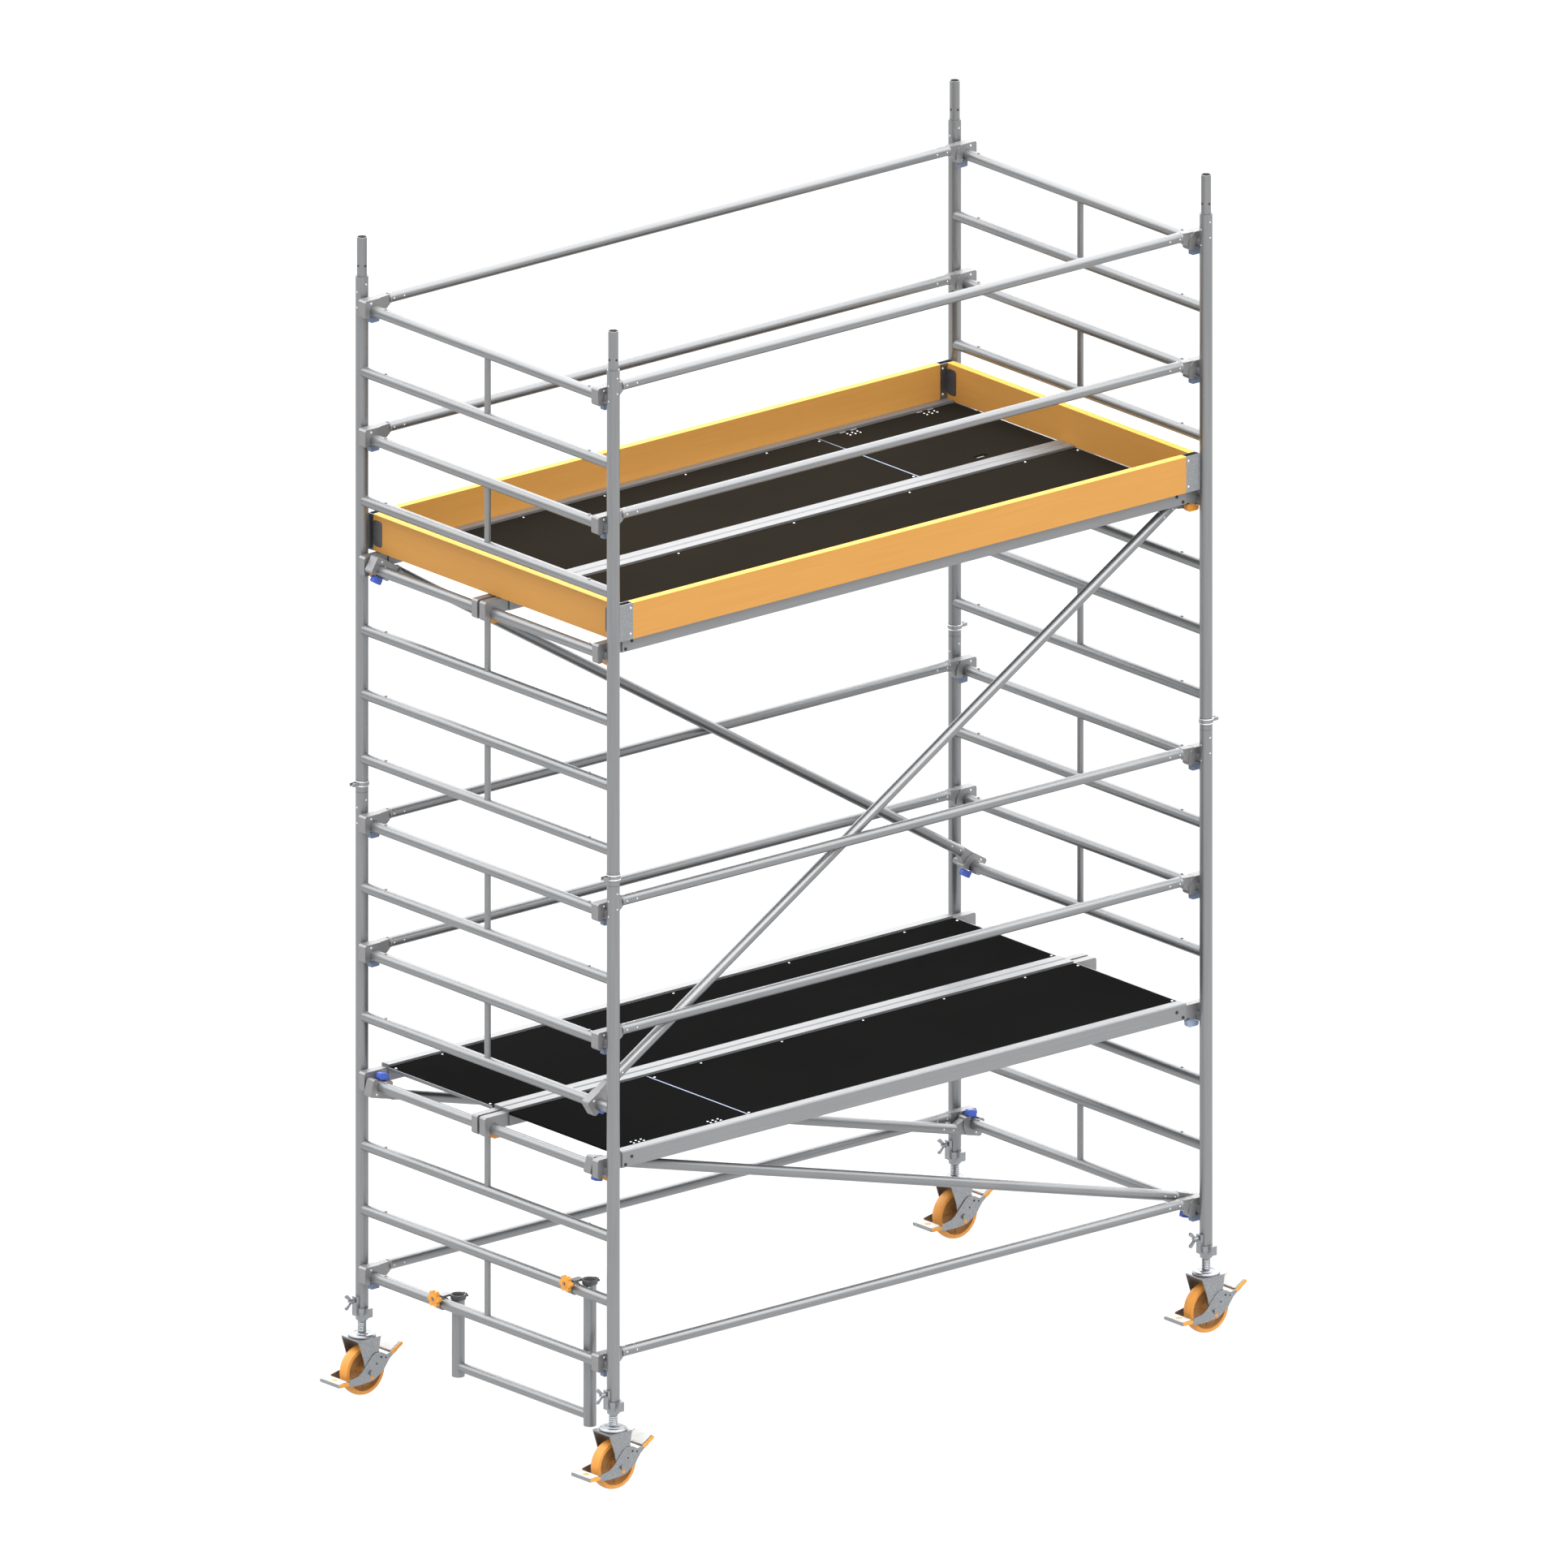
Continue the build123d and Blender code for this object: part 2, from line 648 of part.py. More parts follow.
with BuildPart() as entry_step:
    # bottom bar, coped between the two uprights
    tube((step_axis_x, step_near_y, step_bar_z), (0, 1, 0), step_far_y - step_near_y,
         step_bar_r, step_bar_r - step_wall)
    for y, rung_z in step_posts.values():
        with BuildSketch(Plane.XY.offset(step_bottom)) as upright_round:
            with Locations((step_axis_x, y)):
                Circle(step_r + weld_seam)
        extrude(upright_round.sketch, amount=2 * (step_bar_z - step_bottom), mode=Mode.SUBTRACT)
    for y, rung_z in step_posts.values():
        tube((step_axis_x, y, step_bottom), (0, 0, 1), rung_z + step_above_rung - step_bottom,
             step_r, step_r - step_wall)
    # a coupler on each upright: one ring round the rung, one round the upright, a block between
    for y, rung_z in step_posts.values():
        start = y + step_r + coupler_fit
        tube((-half_length, start, rung_z), (0, 1, 0), coupler_width, clamp_r, rung_r + coupler_fit)
        tube((step_axis_x, y, rung_z + ring_low), (0, 0, 1), ring_height, ring_r, step_r + coupler_fit)
        slab((-half_length - bolt_rise / 3, start, rung_z + rung_r + 2),
             (step_axis_x - 8, start + coupler_width, rung_z + bolt_rise + 8))
        bolt_end = knob_start + knob_length + bolt_tail
        tube((-half_length - bolt_end, start + coupler_width / 2, rung_z + bolt_rise), (1, 0, 0),
             bolt_end - bolt_start, bolt_r)
finish(entry_step, "entry_step")

for label, (y, rung_z) in step_posts.items():
    middle = (-half_length - knob_start, y + step_r + coupler_fit + coupler_width / 2,
              rung_z + bolt_rise)
    lobe_r = knob_r * 0.3
    with BuildPart() as knob:
        with BuildSketch(Plane(origin=middle, x_dir=(0, 1, 0), z_dir=(-1, 0, 0))):
            Circle(knob_r - lobe_r)
            with PolarLocations(knob_r - lobe_r, knob_lobes):
                Circle(lobe_r)
            Circle(bolt_r + coupler_fit, mode=Mode.SUBTRACT)
        extrude(amount=knob_length)
    finish(knob, f"{label}_step_knob")

# ---------------------------------------------------------------- castors
post_foot = base_height + joint_gap / 2
nut_top = post_foot - nut_seat
nut_bottom = base_height - nut_height
nut_r = post_r + nut_wall
wing_z = base_height + wing_rise
axle_z = wheel_r
wheel_edge_r = wheel_r - tread_crown
fork_top = 2 * wheel_r + fork_over_wheel
pedal_root = wheel_r + pedal_clear
upper_pedal_root = wheel_r + upper_pedal_clear
lever_face = fork_inner + fork_cheek + lever_gap


def castor_wheel(name, x, y):
    """Tread, web and long hub turned about the axle."""
    half_tread = wheel_width / 2
    rim = wheel_edge_r - tyre_t
    with BuildPart() as wheel:
        with BuildSketch(Plane(origin=(x, y, axle_z), x_dir=(0, 1, 0), z_dir=(1, 0, 0))):
            with BuildLine():
                Polyline((-half_tread, wheel_edge_r), (-half_tread, rim), (-web_t / 2, rim - 6),
                         (-web_t / 2, hub_r + 4), (-half_tread, hub_r), (-hub_width / 2, hub_r - 4),
                         (-hub_width / 2, axle_r + axle_fit), (hub_width / 2, axle_r + axle_fit),
                         (hub_width / 2, hub_r - 4), (half_tread, hub_r), (web_t / 2, hub_r + 4),
                         (web_t / 2, rim - 6), (half_tread, rim), (half_tread, wheel_edge_r))
                ThreePointArc((half_tread, wheel_edge_r), (0, wheel_r), (-half_tread, wheel_edge_r))
            make_face()
        revolve(axis=Axis((x, y, axle_z), (0, 1, 0)))
    finish(wheel, f"{name}_wheel")


def castor_fork(name, x, y):
    """Top plate, two cheeks and the axle bolt with its head and nut."""
    plate_low = fork_top - fork_plate_t
    outer = fork_inner + fork_cheek
    reach = plate_low - weld_seam - axle_z
    with BuildPart() as fork:
        slab((x - fork_front, y - outer, plate_low), (x + fork_back, y + outer, fork_top))
        with BuildSketch(Plane.XY.offset(plate_low)) as pin_hole:
            with Locations((x, y)):
                Circle(kingpin_r + race_gap)
        extrude(pin_hole.sketch, amount=fork_plate_t, mode=Mode.SUBTRACT)
        for side in (-1, 1):
            face = Plane(origin=(x, y + side * fork_inner, axle_z), x_dir=(side, 0, 0),
                         z_dir=(0, side, 0))
            with BuildSketch(face) as cheek:
                # the sketch's x runs along side * X and its y along -Z
                with BuildLine():
                    Polyline((-side * cheek_foot_r, 0), (-side * (fork_front - 22), -reach * 0.45),
                             (-side * fork_front, -reach), (side * fork_back, -reach),
                             (side * (fork_back - 12), -reach * 0.45), (side * cheek_foot_r, 0))
                    ThreePointArc((side * cheek_foot_r, 0), (0, cheek_foot_r),
                                  (-side * cheek_foot_r, 0))
                make_face()
                Circle(axle_r + axle_fit, mode=Mode.SUBTRACT)
            extrude(cheek.sketch, amount=fork_cheek)
        tip = lever_face + lever_t + axle_head_t + 1
        tube((x, y - tip, axle_z), (0, 1, 0), 2 * tip, axle_r)
        for start in (-tip, tip - axle_head_t):
            with BuildSketch(Plane(origin=(x, y + start, axle_z), z_dir=(0, 1, 0))) as head:
                RegularPolygon(axle_head_r, 6)
            extrude(head.sketch, amount=axle_head_t)
    finish(fork, f"{name}_fork")


def castor_lever(name, x, y):
    """Two cheeks that turn on the axle, a lower and an upper pedal between them."""
    with BuildPart() as lever:
        for side in (-1, 1):
            low = lever_face if side > 0 else -lever_face - lever_t
            # z_dir (0, 1, 0) with x_dir (1, 0, 0) puts the sketch's y along -Z
            with BuildSketch(Plane(origin=(x, y + low, axle_z), x_dir=(1, 0, 0),
                                   z_dir=(0, 1, 0))) as cheek:
                with BuildLine():
                    Polyline((-pedal_root + 1, 9), (-60, 0), (-40, -14), (4, -62), (20, -73), (38, -72),
                             (74, -56), (upper_pedal_root - 2, -50), (upper_pedal_root - 12, -36),
                             (60, 0), (14, 31), (-42, 36),
                             (-pedal_root + 1, 35), close=True)
                make_face()
                Circle(axle_r + axle_fit, mode=Mode.SUBTRACT)
            extrude(cheek.sketch, amount=lever_t)
        wide = lever_face + lever_t
        pedal_low = axle_z - pedal_drop
        slab((x - pedal_root - pedal_length, y - wide, pedal_low),
             (x - pedal_root, y + wide, pedal_low + pedal_t))
        size = hypot(upper_pedal_run[0], upper_pedal_run[1])
        along = (upper_pedal_run[0] / size, 0, upper_pedal_run[1] / size)
        root = (x + upper_pedal_root, y, axle_z + upper_pedal_rise)
        plane = Plane(origin=root, x_dir=along, z_dir=(0, 1, 0))
        with BuildSketch(plane) as pedal:
            with Locations((size / 2, 0)):
                RectangleRounded(size, pedal_t, pedal_t / 2 - 1)
        extrude(pedal.sketch, amount=wide, both=True)
    finish(lever, f"{name}_brake_lever")


def castor_spindle(name, x, y):
    """Screwed leg with the swivel's upper race and the kingpin under it."""
    race_low = fork_top + race_gap
    race_top = race_low + race_h
    pin_low = fork_top - fork_plate_t - race_gap
    with BuildPart() as spindle:
        with BuildSketch(Plane(origin=(x, y, 0), x_dir=(1, 0, 0), z_dir=(0, -1, 0))) as half:
            with BuildLine():
                Polyline((0, pin_low - kingpin_head_h), (kingpin_head_r, pin_low - kingpin_head_h),
                         (kingpin_head_r, pin_low), (kingpin_r, pin_low), (kingpin_r, race_low),
                         (race_r, race_low), (race_r, race_top - 5), (race_r - 8, race_top),
                         (spindle_r + 8, race_top), (spindle_r, race_top + 3),
                         (spindle_r, race_top + spindle_length), (spindle_bore, race_top + spindle_length),
                         (spindle_bore, race_top + 6), (0, race_top + 6), close=True)
            make_face()
        revolve(axis=Axis((x, y, 0), (0, 0, 1)))
    finish(spindle, f"{name}_spindle")


def castor_nut(name, x, y):
    """Collar nut under the post: a turning lug to the front, an arm with a clamp hole to the left."""
    bore = spindle_r + nut_fit
    half_lug = nut_lug_w / 2
    with BuildPart() as nut:
        with BuildSketch(Plane(origin=(x, y, 0), x_dir=(1, 0, 0), z_dir=(0, -1, 0))) as half:
            with BuildLine():
                Polyline((bore, nut_bottom), (nut_foot_r, nut_bottom), (nut_foot_r, nut_bottom + 6),
                         (nut_r, nut_bottom + 32), (nut_r, nut_top), (bore, nut_top), close=True)
            make_face()
        revolve(axis=Axis((x, y, 0), (0, 0, 1)))
        lug_top = nut_top + 2
        slab((x - half_lug, y - nut_lug, lug_top - nut_lug_h), (x + half_lug, y - nut_r + 4, lug_top))
        arm_in = x - post_r - wing_tip_gap
        arm_top = base_height + nut_arm_rise
        slab((arm_in - nut_arm_t, y - half_lug, arm_top - nut_arm_h), (arm_in, y + half_lug, arm_top))
        with BuildSketch(Plane.XY.offset(nut_bottom)) as bore_round:
            with Locations((x, y)):
                Circle(bore)
        extrude(bore_round.sketch, amount=nut_top - nut_bottom, mode=Mode.SUBTRACT)
        with BuildSketch(Plane(origin=(arm_in + 1, y, wing_z), z_dir=(-1, 0, 0))) as screw_hole:
            Circle(wing_shaft_r + nut_fit)
        extrude(screw_hole.sketch, amount=nut_arm_t + 2, mode=Mode.SUBTRACT)
    finish(nut, f"{name}_spindle_nut")


def castor_wing(name, x, y):
    """Wing screw that clamps the nut's arm to the post."""
    hub = x - wing_hub_out
    lobe = x - wing_lobe_out
    with BuildPart() as wing:
        tube((x - post_r - wing_tip_gap, y, wing_z), (-1, 0, 0), wing_hub_out - post_r, wing_shaft_r)
        tube((hub + wing_hub_length / 2, y, wing_z), (-1, 0, 0), wing_hub_length, wing_hub_r)
        with BuildSketch(Plane(origin=(0, y, 0), x_dir=(1, 0, 0), z_dir=(0, -1, 0))) as blades:
            for side in (-1, 1):
                with BuildLine():
                    Polyline((hub + 8, wing_z), (hub - 6, wing_z),
                             (lobe - 3, wing_z + side * (wing_lobe_rise - 6)),
                             (lobe + 5, wing_z + side * (wing_lobe_rise + 6)), close=True)
                make_face()
                with Locations((lobe, wing_z + side * wing_lobe_rise)):
                    Circle(wing_lobe_r)
        extrude(blades.sketch, amount=wing_t / 2, both=True)
    finish(wing, f"{name}_wing_screw")


for name, (x, y) in posts.items():
    castor_wheel(name, x, y)
    castor_fork(name, x, y)
    castor_lever(name, x, y)
    castor_spindle(name, x, y)
    castor_nut(name, x, y)
    castor_wing(name, x, y)
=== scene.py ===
import bpy
import math
import numpy as np
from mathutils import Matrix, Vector


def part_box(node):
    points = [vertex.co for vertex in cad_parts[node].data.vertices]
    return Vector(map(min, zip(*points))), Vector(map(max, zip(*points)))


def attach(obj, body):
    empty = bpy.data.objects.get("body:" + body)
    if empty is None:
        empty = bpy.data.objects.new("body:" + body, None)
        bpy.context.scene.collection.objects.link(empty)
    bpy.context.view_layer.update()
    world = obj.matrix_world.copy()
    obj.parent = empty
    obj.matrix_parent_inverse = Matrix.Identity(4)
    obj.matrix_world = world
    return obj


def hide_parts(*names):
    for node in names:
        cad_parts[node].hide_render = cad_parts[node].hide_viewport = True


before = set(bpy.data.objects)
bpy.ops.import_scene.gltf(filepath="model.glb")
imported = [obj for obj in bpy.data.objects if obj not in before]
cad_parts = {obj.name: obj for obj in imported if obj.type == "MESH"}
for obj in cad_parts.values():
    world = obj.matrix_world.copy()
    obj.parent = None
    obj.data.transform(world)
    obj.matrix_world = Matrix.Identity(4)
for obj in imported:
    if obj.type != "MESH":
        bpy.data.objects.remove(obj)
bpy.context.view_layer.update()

# ---- Camera, floor and light
# The tower stands on a plain white floor that glows a little, so that no shadow lies on it.
# The room is brightest overhead and behind; the view is square-on, without perspective.
VIEW_WIDTH = 5.775
VIEW_DISTANCE = 20.0
AZIMUTH = math.radians(40.0)
ELEVATION = math.radians(18.315)
AIM = Vector((0.0, 0.0, 2.2455))
toward = Vector((
    -math.sin(AZIMUTH) * math.cos(ELEVATION),
    -math.cos(AZIMUTH) * math.cos(ELEVATION),
    math.sin(ELEVATION),
))
camera_data = bpy.data.cameras.new("camera")
camera_data.type = "ORTHO"
camera_data.ortho_scale = VIEW_WIDTH
camera_data.clip_end = 100.0
camera = bpy.data.objects.new("camera", camera_data)
bpy.context.scene.collection.objects.link(camera)
camera.location = AIM + toward * VIEW_DISTANCE
camera.rotation_euler = (-toward).to_track_quat("-Z", "Y").to_euler()
bpy.context.scene.camera = camera


class Flow:
    """One output in a node tree; sums and products of flows add Math nodes to the tree."""

    def __init__(self, tree, socket=None):
        self.tree = tree
        self.socket = socket

    def put(self, kind, settings=None, inputs=None, output=0):
        """A new node with its settings, then its inputs as values or flows; gives one output."""
        node = self.tree.nodes.new(kind)
        for key, value in (settings or {}).items():
            setattr(node, key, value)
        for key, value in (inputs or {}).items():
            if isinstance(value, Flow):
                self.tree.links.new(value.socket, node.inputs[key])
            else:
                node.inputs[key].default_value = value
        return Flow(self.tree, node.outputs[output])

    def into(self, socket):
        self.tree.links.new(self.socket, socket)

    def maths(self, operation, *values):
        return self.put("ShaderNodeMath", {"operation": operation}, dict(enumerate(values)))

    def __add__(self, other):
        return self.maths("ADD", self, other)

    def __sub__(self, other):
        return self.maths("SUBTRACT", self, other)

    def __rsub__(self, other):
        return self.maths("SUBTRACT", other, self)

    def __mul__(self, other):
        return self.maths("MULTIPLY", self, other)

    def __gt__(self, other):
        return self.maths("GREATER_THAN", self, other)

    def __lt__(self, other):
        return self.maths("LESS_THAN", self, other)

    __radd__ = __add__
    __rmul__ = __mul__


BEHIND_EAST, BEHIND_NORTH = 0.64, 0.77  # the way the view looks, along the floor
FADE_LOW, FADE_HIGH = 0.1, 0.75  # heights in the sky between which it brightens
SKY_LEVEL = 3.1
FRONT_LEVEL = 0.25
ROOM_LEVEL = 0.40
world = bpy.data.worlds.new("studio")
bpy.context.scene.world = world
world.use_nodes = True
world.node_tree.nodes["Background"].inputs["Color"].default_value = (1.0, 1.0, 1.0, 1.0)
sky = Flow(world.node_tree)
direction = sky.put("ShaderNodeTexCoord", output="Generated")
heading = sky.put("ShaderNodeSeparateXYZ", inputs={0: direction})
east, north, up = (Flow(world.node_tree, heading.socket.node.outputs[key]) for key in "XYZ")
behind = east.maths("MAXIMUM", east * BEHIND_EAST + north * BEHIND_NORTH, 0.0)
raised = up + behind * 0.45
overhead = up.put("ShaderNodeMapRange", {"interpolation_type": "SMOOTHSTEP"},
                  {"Value": raised, "From Min": FADE_LOW, "From Max": FADE_HIGH,
                   "To Min": 0.0, "To Max": SKY_LEVEL})
in_front = north.maths("MAXIMUM", 0.0 - north, 0.0) * FRONT_LEVEL
(overhead + in_front + ROOM_LEVEL).into(world.node_tree.nodes["Background"].inputs["Strength"])

sun_data = bpy.data.lights.new("soft_key", "SUN")
sun_data.energy = 0.7
sun_data.angle = math.radians(35.0)
sun = bpy.data.objects.new("soft_key", sun_data)
bpy.context.scene.collection.objects.link(sun)
sun.rotation_euler = Vector((0.1, 1.0, -0.75)).to_track_quat("-Z", "Y").to_euler()

FLOOR_HALF = 30.0
floor_mesh = bpy.data.meshes.new("floor")
floor_mesh.from_pydata([(-FLOOR_HALF, -FLOOR_HALF, 0), (FLOOR_HALF, -FLOOR_HALF, 0),
                        (FLOOR_HALF, FLOOR_HALF, 0), (-FLOOR_HALF, FLOOR_HALF, 0)], [], [(0, 1, 2, 3)])
floor = bpy.data.objects.new("floor", floor_mesh)
bpy.context.scene.collection.objects.link(floor)
floor_finish = bpy.data.materials.new("floor_white")
floor_finish.use_nodes = True
floor_shader = floor_finish.node_tree.nodes["Principled BSDF"]
floor_shader.inputs["Base Color"].default_value = (0.04, 0.04, 0.04, 1.0)
floor_shader.inputs["Roughness"].default_value = 0.9
floor_shader.inputs["Emission Color"].default_value = (1.0, 1.0, 1.0, 1.0)
floor_shader.inputs["Emission Strength"].default_value = 1.0
floor_mesh.materials.append(floor_finish)


# ---- Ladder frames
# Each frame is two posts and eight rungs of mill-finish aluminium tube, welded, with short
# uprights between pairs of rungs. The tubes keep faint streaks along their length from drawing.
class Finish:
    """A material with one Principled shader, and flows for the place on the surface."""

    def __init__(self, name, **constants):
        self.material = bpy.data.materials.new(name)
        self.material.use_nodes = True
        tree = self.material.node_tree
        self.shader = tree.nodes["Principled BSDF"]
        self.place = Flow(tree).put("ShaderNodeTexCoord", output="Object")
        parts = self.place.put("ShaderNodeSeparateXYZ", inputs={0: self.place}).socket.node
        self.x, self.y, self.z = (Flow(tree, parts.outputs[key]) for key in "XYZ")
        for key, value in constants.items():
            socket = key.replace("_", " ").title().replace("Ior", "IOR")
            self.shader.inputs[socket].default_value = value

    def noise(self, scale, detail=3.0, stretch=(1.0, 1.0, 1.0)):
        """Soft random variation round 0.5; stretch above 1 makes it finer along that axis."""
        vector = self.place.put("ShaderNodeMapping", inputs={"Vector": self.place, "Scale": stretch})
        return self.place.put("ShaderNodeTexNoise",
                              inputs={"Vector": vector, "Scale": scale, "Detail": detail})

    def blend(self, factor, first, second):
        """A colour from first at factor 0 to second at factor 1; each is a colour or a flow."""
        return self.place.put("ShaderNodeMix", {"data_type": "RGBA"}, {0: factor, 6: first, 7: second}, 2)

    def colour(self, flow):
        flow.into(self.shader.inputs["Base Color"])

    def rough(self, flow):
        flow.into(self.shader.inputs["Roughness"])

    def bump(self, height, distance, strength=1.0):
        surface = {"Height": height, "Distance": distance, "Strength": strength}
        self.place.put("ShaderNodeBump", inputs=surface).into(self.shader.inputs["Normal"])

    def dress(self, *names):
        """Gives this finish to CAD nodes."""
        for name in names:
            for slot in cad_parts[name].material_slots:
                slot.material = self.material


STREAK_SCALE = 9.0
STREAK_BUMP = 0.0002
TUBE_METALLIC = 0.8
TUBE_LIGHT = (0.275, 0.28, 0.285, 1.0)
TUBE_DARK = (0.20, 0.204, 0.21, 1.0)
RUNG_END_Y = 0.694  # the rungs end just inside the posts' inner faces


def drawn_tube(name, stretch, light=TUBE_LIGHT, dark=TUBE_DARK, metallic=TUBE_METALLIC):
    """Mill-finish aluminium with streaks along the axis whose stretch is small."""
    finish = Finish(name, metallic=metallic)
    streak = finish.noise(STREAK_SCALE, 5.0, stretch)
    cloud = finish.noise(5.0, 2.0)
    finish.colour(finish.blend(streak * 0.7 + cloud * 0.3, dark, light))
    finish.rough(streak * 0.14 + cloud * 0.10 + 0.28)
    finish.bump(streak, STREAK_BUMP, 0.15)
    return finish


frame_tube = Finish("frame_tube", metallic=TUBE_METALLIC)
on_post = frame_tube.y.maths("ABSOLUTE", frame_tube.y) > RUNG_END_Y
post_streak = frame_tube.noise(STREAK_SCALE, 5.0, (14.0, 14.0, 0.35))
rung_streak = frame_tube.noise(STREAK_SCALE, 5.0, (14.0, 0.35, 14.0))
frame_streak = post_streak * on_post + rung_streak * (1.0 - on_post)
frame_tube.colour(frame_tube.blend(frame_streak, TUBE_DARK, TUBE_LIGHT))
frame_tube.rough(frame_streak * 0.16 + 0.30)
frame_tube.bump(frame_streak, STREAK_BUMP, 0.15)
frame_tube.dress("lower_left_frame", "lower_right_frame", "upper_left_frame", "upper_right_frame")


class Shape:
    """Points and faces of one piece, gathered part by part with numpy."""

    def __init__(self):
        self.points = []
        self.faces = []
        self.total = 0

    def add(self, points, faces):
        self.points.append(np.asarray(points, dtype=float))
        self.faces += [tuple(int(index) + self.total for index in face) for face in faces]
        self.total += len(points)

    def turned(self, profile, at, axis, steps=16, thread=None):
        """Points at radius r and height h of each profile pair, swept round axis. thread(angle, h, r)
        gives the radius where it isn't constant round the turn."""
        axis = np.array(axis, dtype=float) / np.linalg.norm(axis)
        side = np.cross(axis, (0.0, 0.0, 1.0) if abs(axis[2]) < 0.9 else (1.0, 0.0, 0.0))
        side /= np.linalg.norm(side)
        other = np.cross(axis, side)
        angle = np.linspace(0, 2 * np.pi, steps, endpoint=False)[None, :]
        profile = np.array(profile, dtype=float)
        radius, height = profile[:, :1], profile[:, 1:]
        if thread:
            radius = thread(angle, height, radius)
        rings = (np.array(at) + height[..., None] * axis
                 + (radius * np.cos(angle))[..., None] * side
                 + (radius * np.sin(angle))[..., None] * other)
        rows = np.arange(len(profile) - 1)[:, None] * steps
        here = np.arange(steps)[None, :]
        after = (here + 1) % steps
        quads = np.stack([rows + here, rows + after, rows + steps + after, rows + steps + here], -1)
        self.add(rings.reshape(-1, 3), quads.reshape(-1, 4))

    def rivet(self, at, axis, radius=0.004, rise=0.002):
        """A domed head: radius falls as the cosine and height grows as the sine of the same angle."""
        bend = np.linspace(0, np.pi / 2, 5)
        self.turned(np.stack([radius * np.cos(bend), rise * np.sin(bend)], 1), at, axis, 12)

    def plate(self, outline, at, along, across, thickness):
        """A flat plate: outline pairs run along and across from at, and it is thickness deep behind."""
        along, across = np.array(along, dtype=float), np.array(across, dtype=float)
        outline = np.asarray(outline)
        front = np.array(at) + outline[:, :1] * along + outline[:, 1:] * across
        back = front - np.cross(along, across) * thickness
        count = len(front)
        sides = [(index, index + count, (index + 1) % count + count, (index + 1) % count)
                 for index in range(count)]
        ends = [tuple(range(count)), tuple(range(2 * count - 1, count - 1, -1))]
        self.add(np.concatenate([front, back]), sides + ends)

    def block(self, low, high):
        """A square-edged bar between two corners; the piece's bevel rounds it."""
        outline = [(low[0], low[1]), (high[0], low[1]), (high[0], high[1]), (low[0], high[1])]
        self.plate(outline, (0, 0, high[2]), (1, 0, 0), (0, 1, 0), high[2] - low[2])

    def piece(self, name, finish, body="tower", bevel=0.0):
        """Makes the object, in its finish, riding on its body."""
        mesh = bpy.data.meshes.new(name)
        mesh.from_pydata(np.concatenate(self.points).tolist(), [], self.faces)
        mesh.materials.append(finish.material)
        mesh.shade_smooth()
        mesh.set_sharp_from_angle(angle=math.radians(35.0))
        made = bpy.data.objects.new(name, mesh)
        bpy.context.scene.collection.objects.link(made)
        if bevel:
            rounding = made.modifiers.new("edge", "BEVEL")
            rounding.width = bevel
            rounding.segments = 2
        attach(made, body)
        return made


def rounded(width, height, radius, steps=4):
    """Outline of a rectangle about 0, 0 whose corners are quarter circles."""
    turn = np.linspace(0, np.pi / 2, steps)
    corners = []
    for quarter, (sx, sy) in enumerate(((1, 1), (-1, 1), (-1, -1), (1, -1))):
        angle = turn + quarter * np.pi / 2
        corners.append(np.stack([sx * (width / 2 - radius) + radius * np.cos(angle),
                                 sy * (height / 2 - radius) + radius * np.sin(angle)], 1))
    return np.concatenate(corners)


frame_low, frame_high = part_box("lower_left_frame")
POST_R = 0.02415
RUNG_R = 0.0212
FRAME_HEIGHT = 2.0
FIRST_RUNG = 0.13
RUNG_PITCH = 0.25
RUNGS_PER_FRAME = 8
HALF_JOINT_GAP = 0.0005
POST_X = -(frame_low[0] + frame_high[0]) / 2
POST_Y = frame_high[1] - POST_R
POST_FOOT = frame_low[2] - HALF_JOINT_GAP
RUNG_Z = {}  # rungs are counted from the top
for rung in range(1, 2 * RUNGS_PER_FRAME + 1):
    tier, place = divmod(rung - 1, RUNGS_PER_FRAME)
    RUNG_Z[rung] = (POST_FOOT + FRAME_HEIGHT * (1 - tier) + FIRST_RUNG
                    + RUNG_PITCH * (RUNGS_PER_FRAME - 1 - place))
POSTS = {"rear_left": (-POST_X, POST_Y), "front_left": (-POST_X, -POST_Y),
         "rear_right": (POST_X, POST_Y), "front_right": (POST_X, -POST_Y)}

bright_rivet = Finish("bright_rivet", metallic=0.6)
bright_rivet.colour(bright_rivet.blend(bright_rivet.noise(300.0), (0.62, 0.62, 0.62, 1),
                                       (0.8, 0.8, 0.8, 1)))
bright_rivet.rough(bright_rivet.noise(150.0) * 0.2 + 0.3)
# Black for the rail bolts, and painted shade for the pin holes and lever holes, which are drawn as black
# discs.
black_bolt_and_hole_shade = Finish("black_bolt_and_hole_shade", specular_ior_level=0.3)
black_bolt_and_hole_shade.colour(black_bolt_and_hole_shade.blend(black_bolt_and_hole_shade.noise(200.0), (0.01, 0.01, 0.01, 1),
                                   (0.03, 0.03, 0.03, 1)))
black_bolt_and_hole_shade.rough(black_bolt_and_hole_shade.noise(90.0) * 0.2 + 0.4)

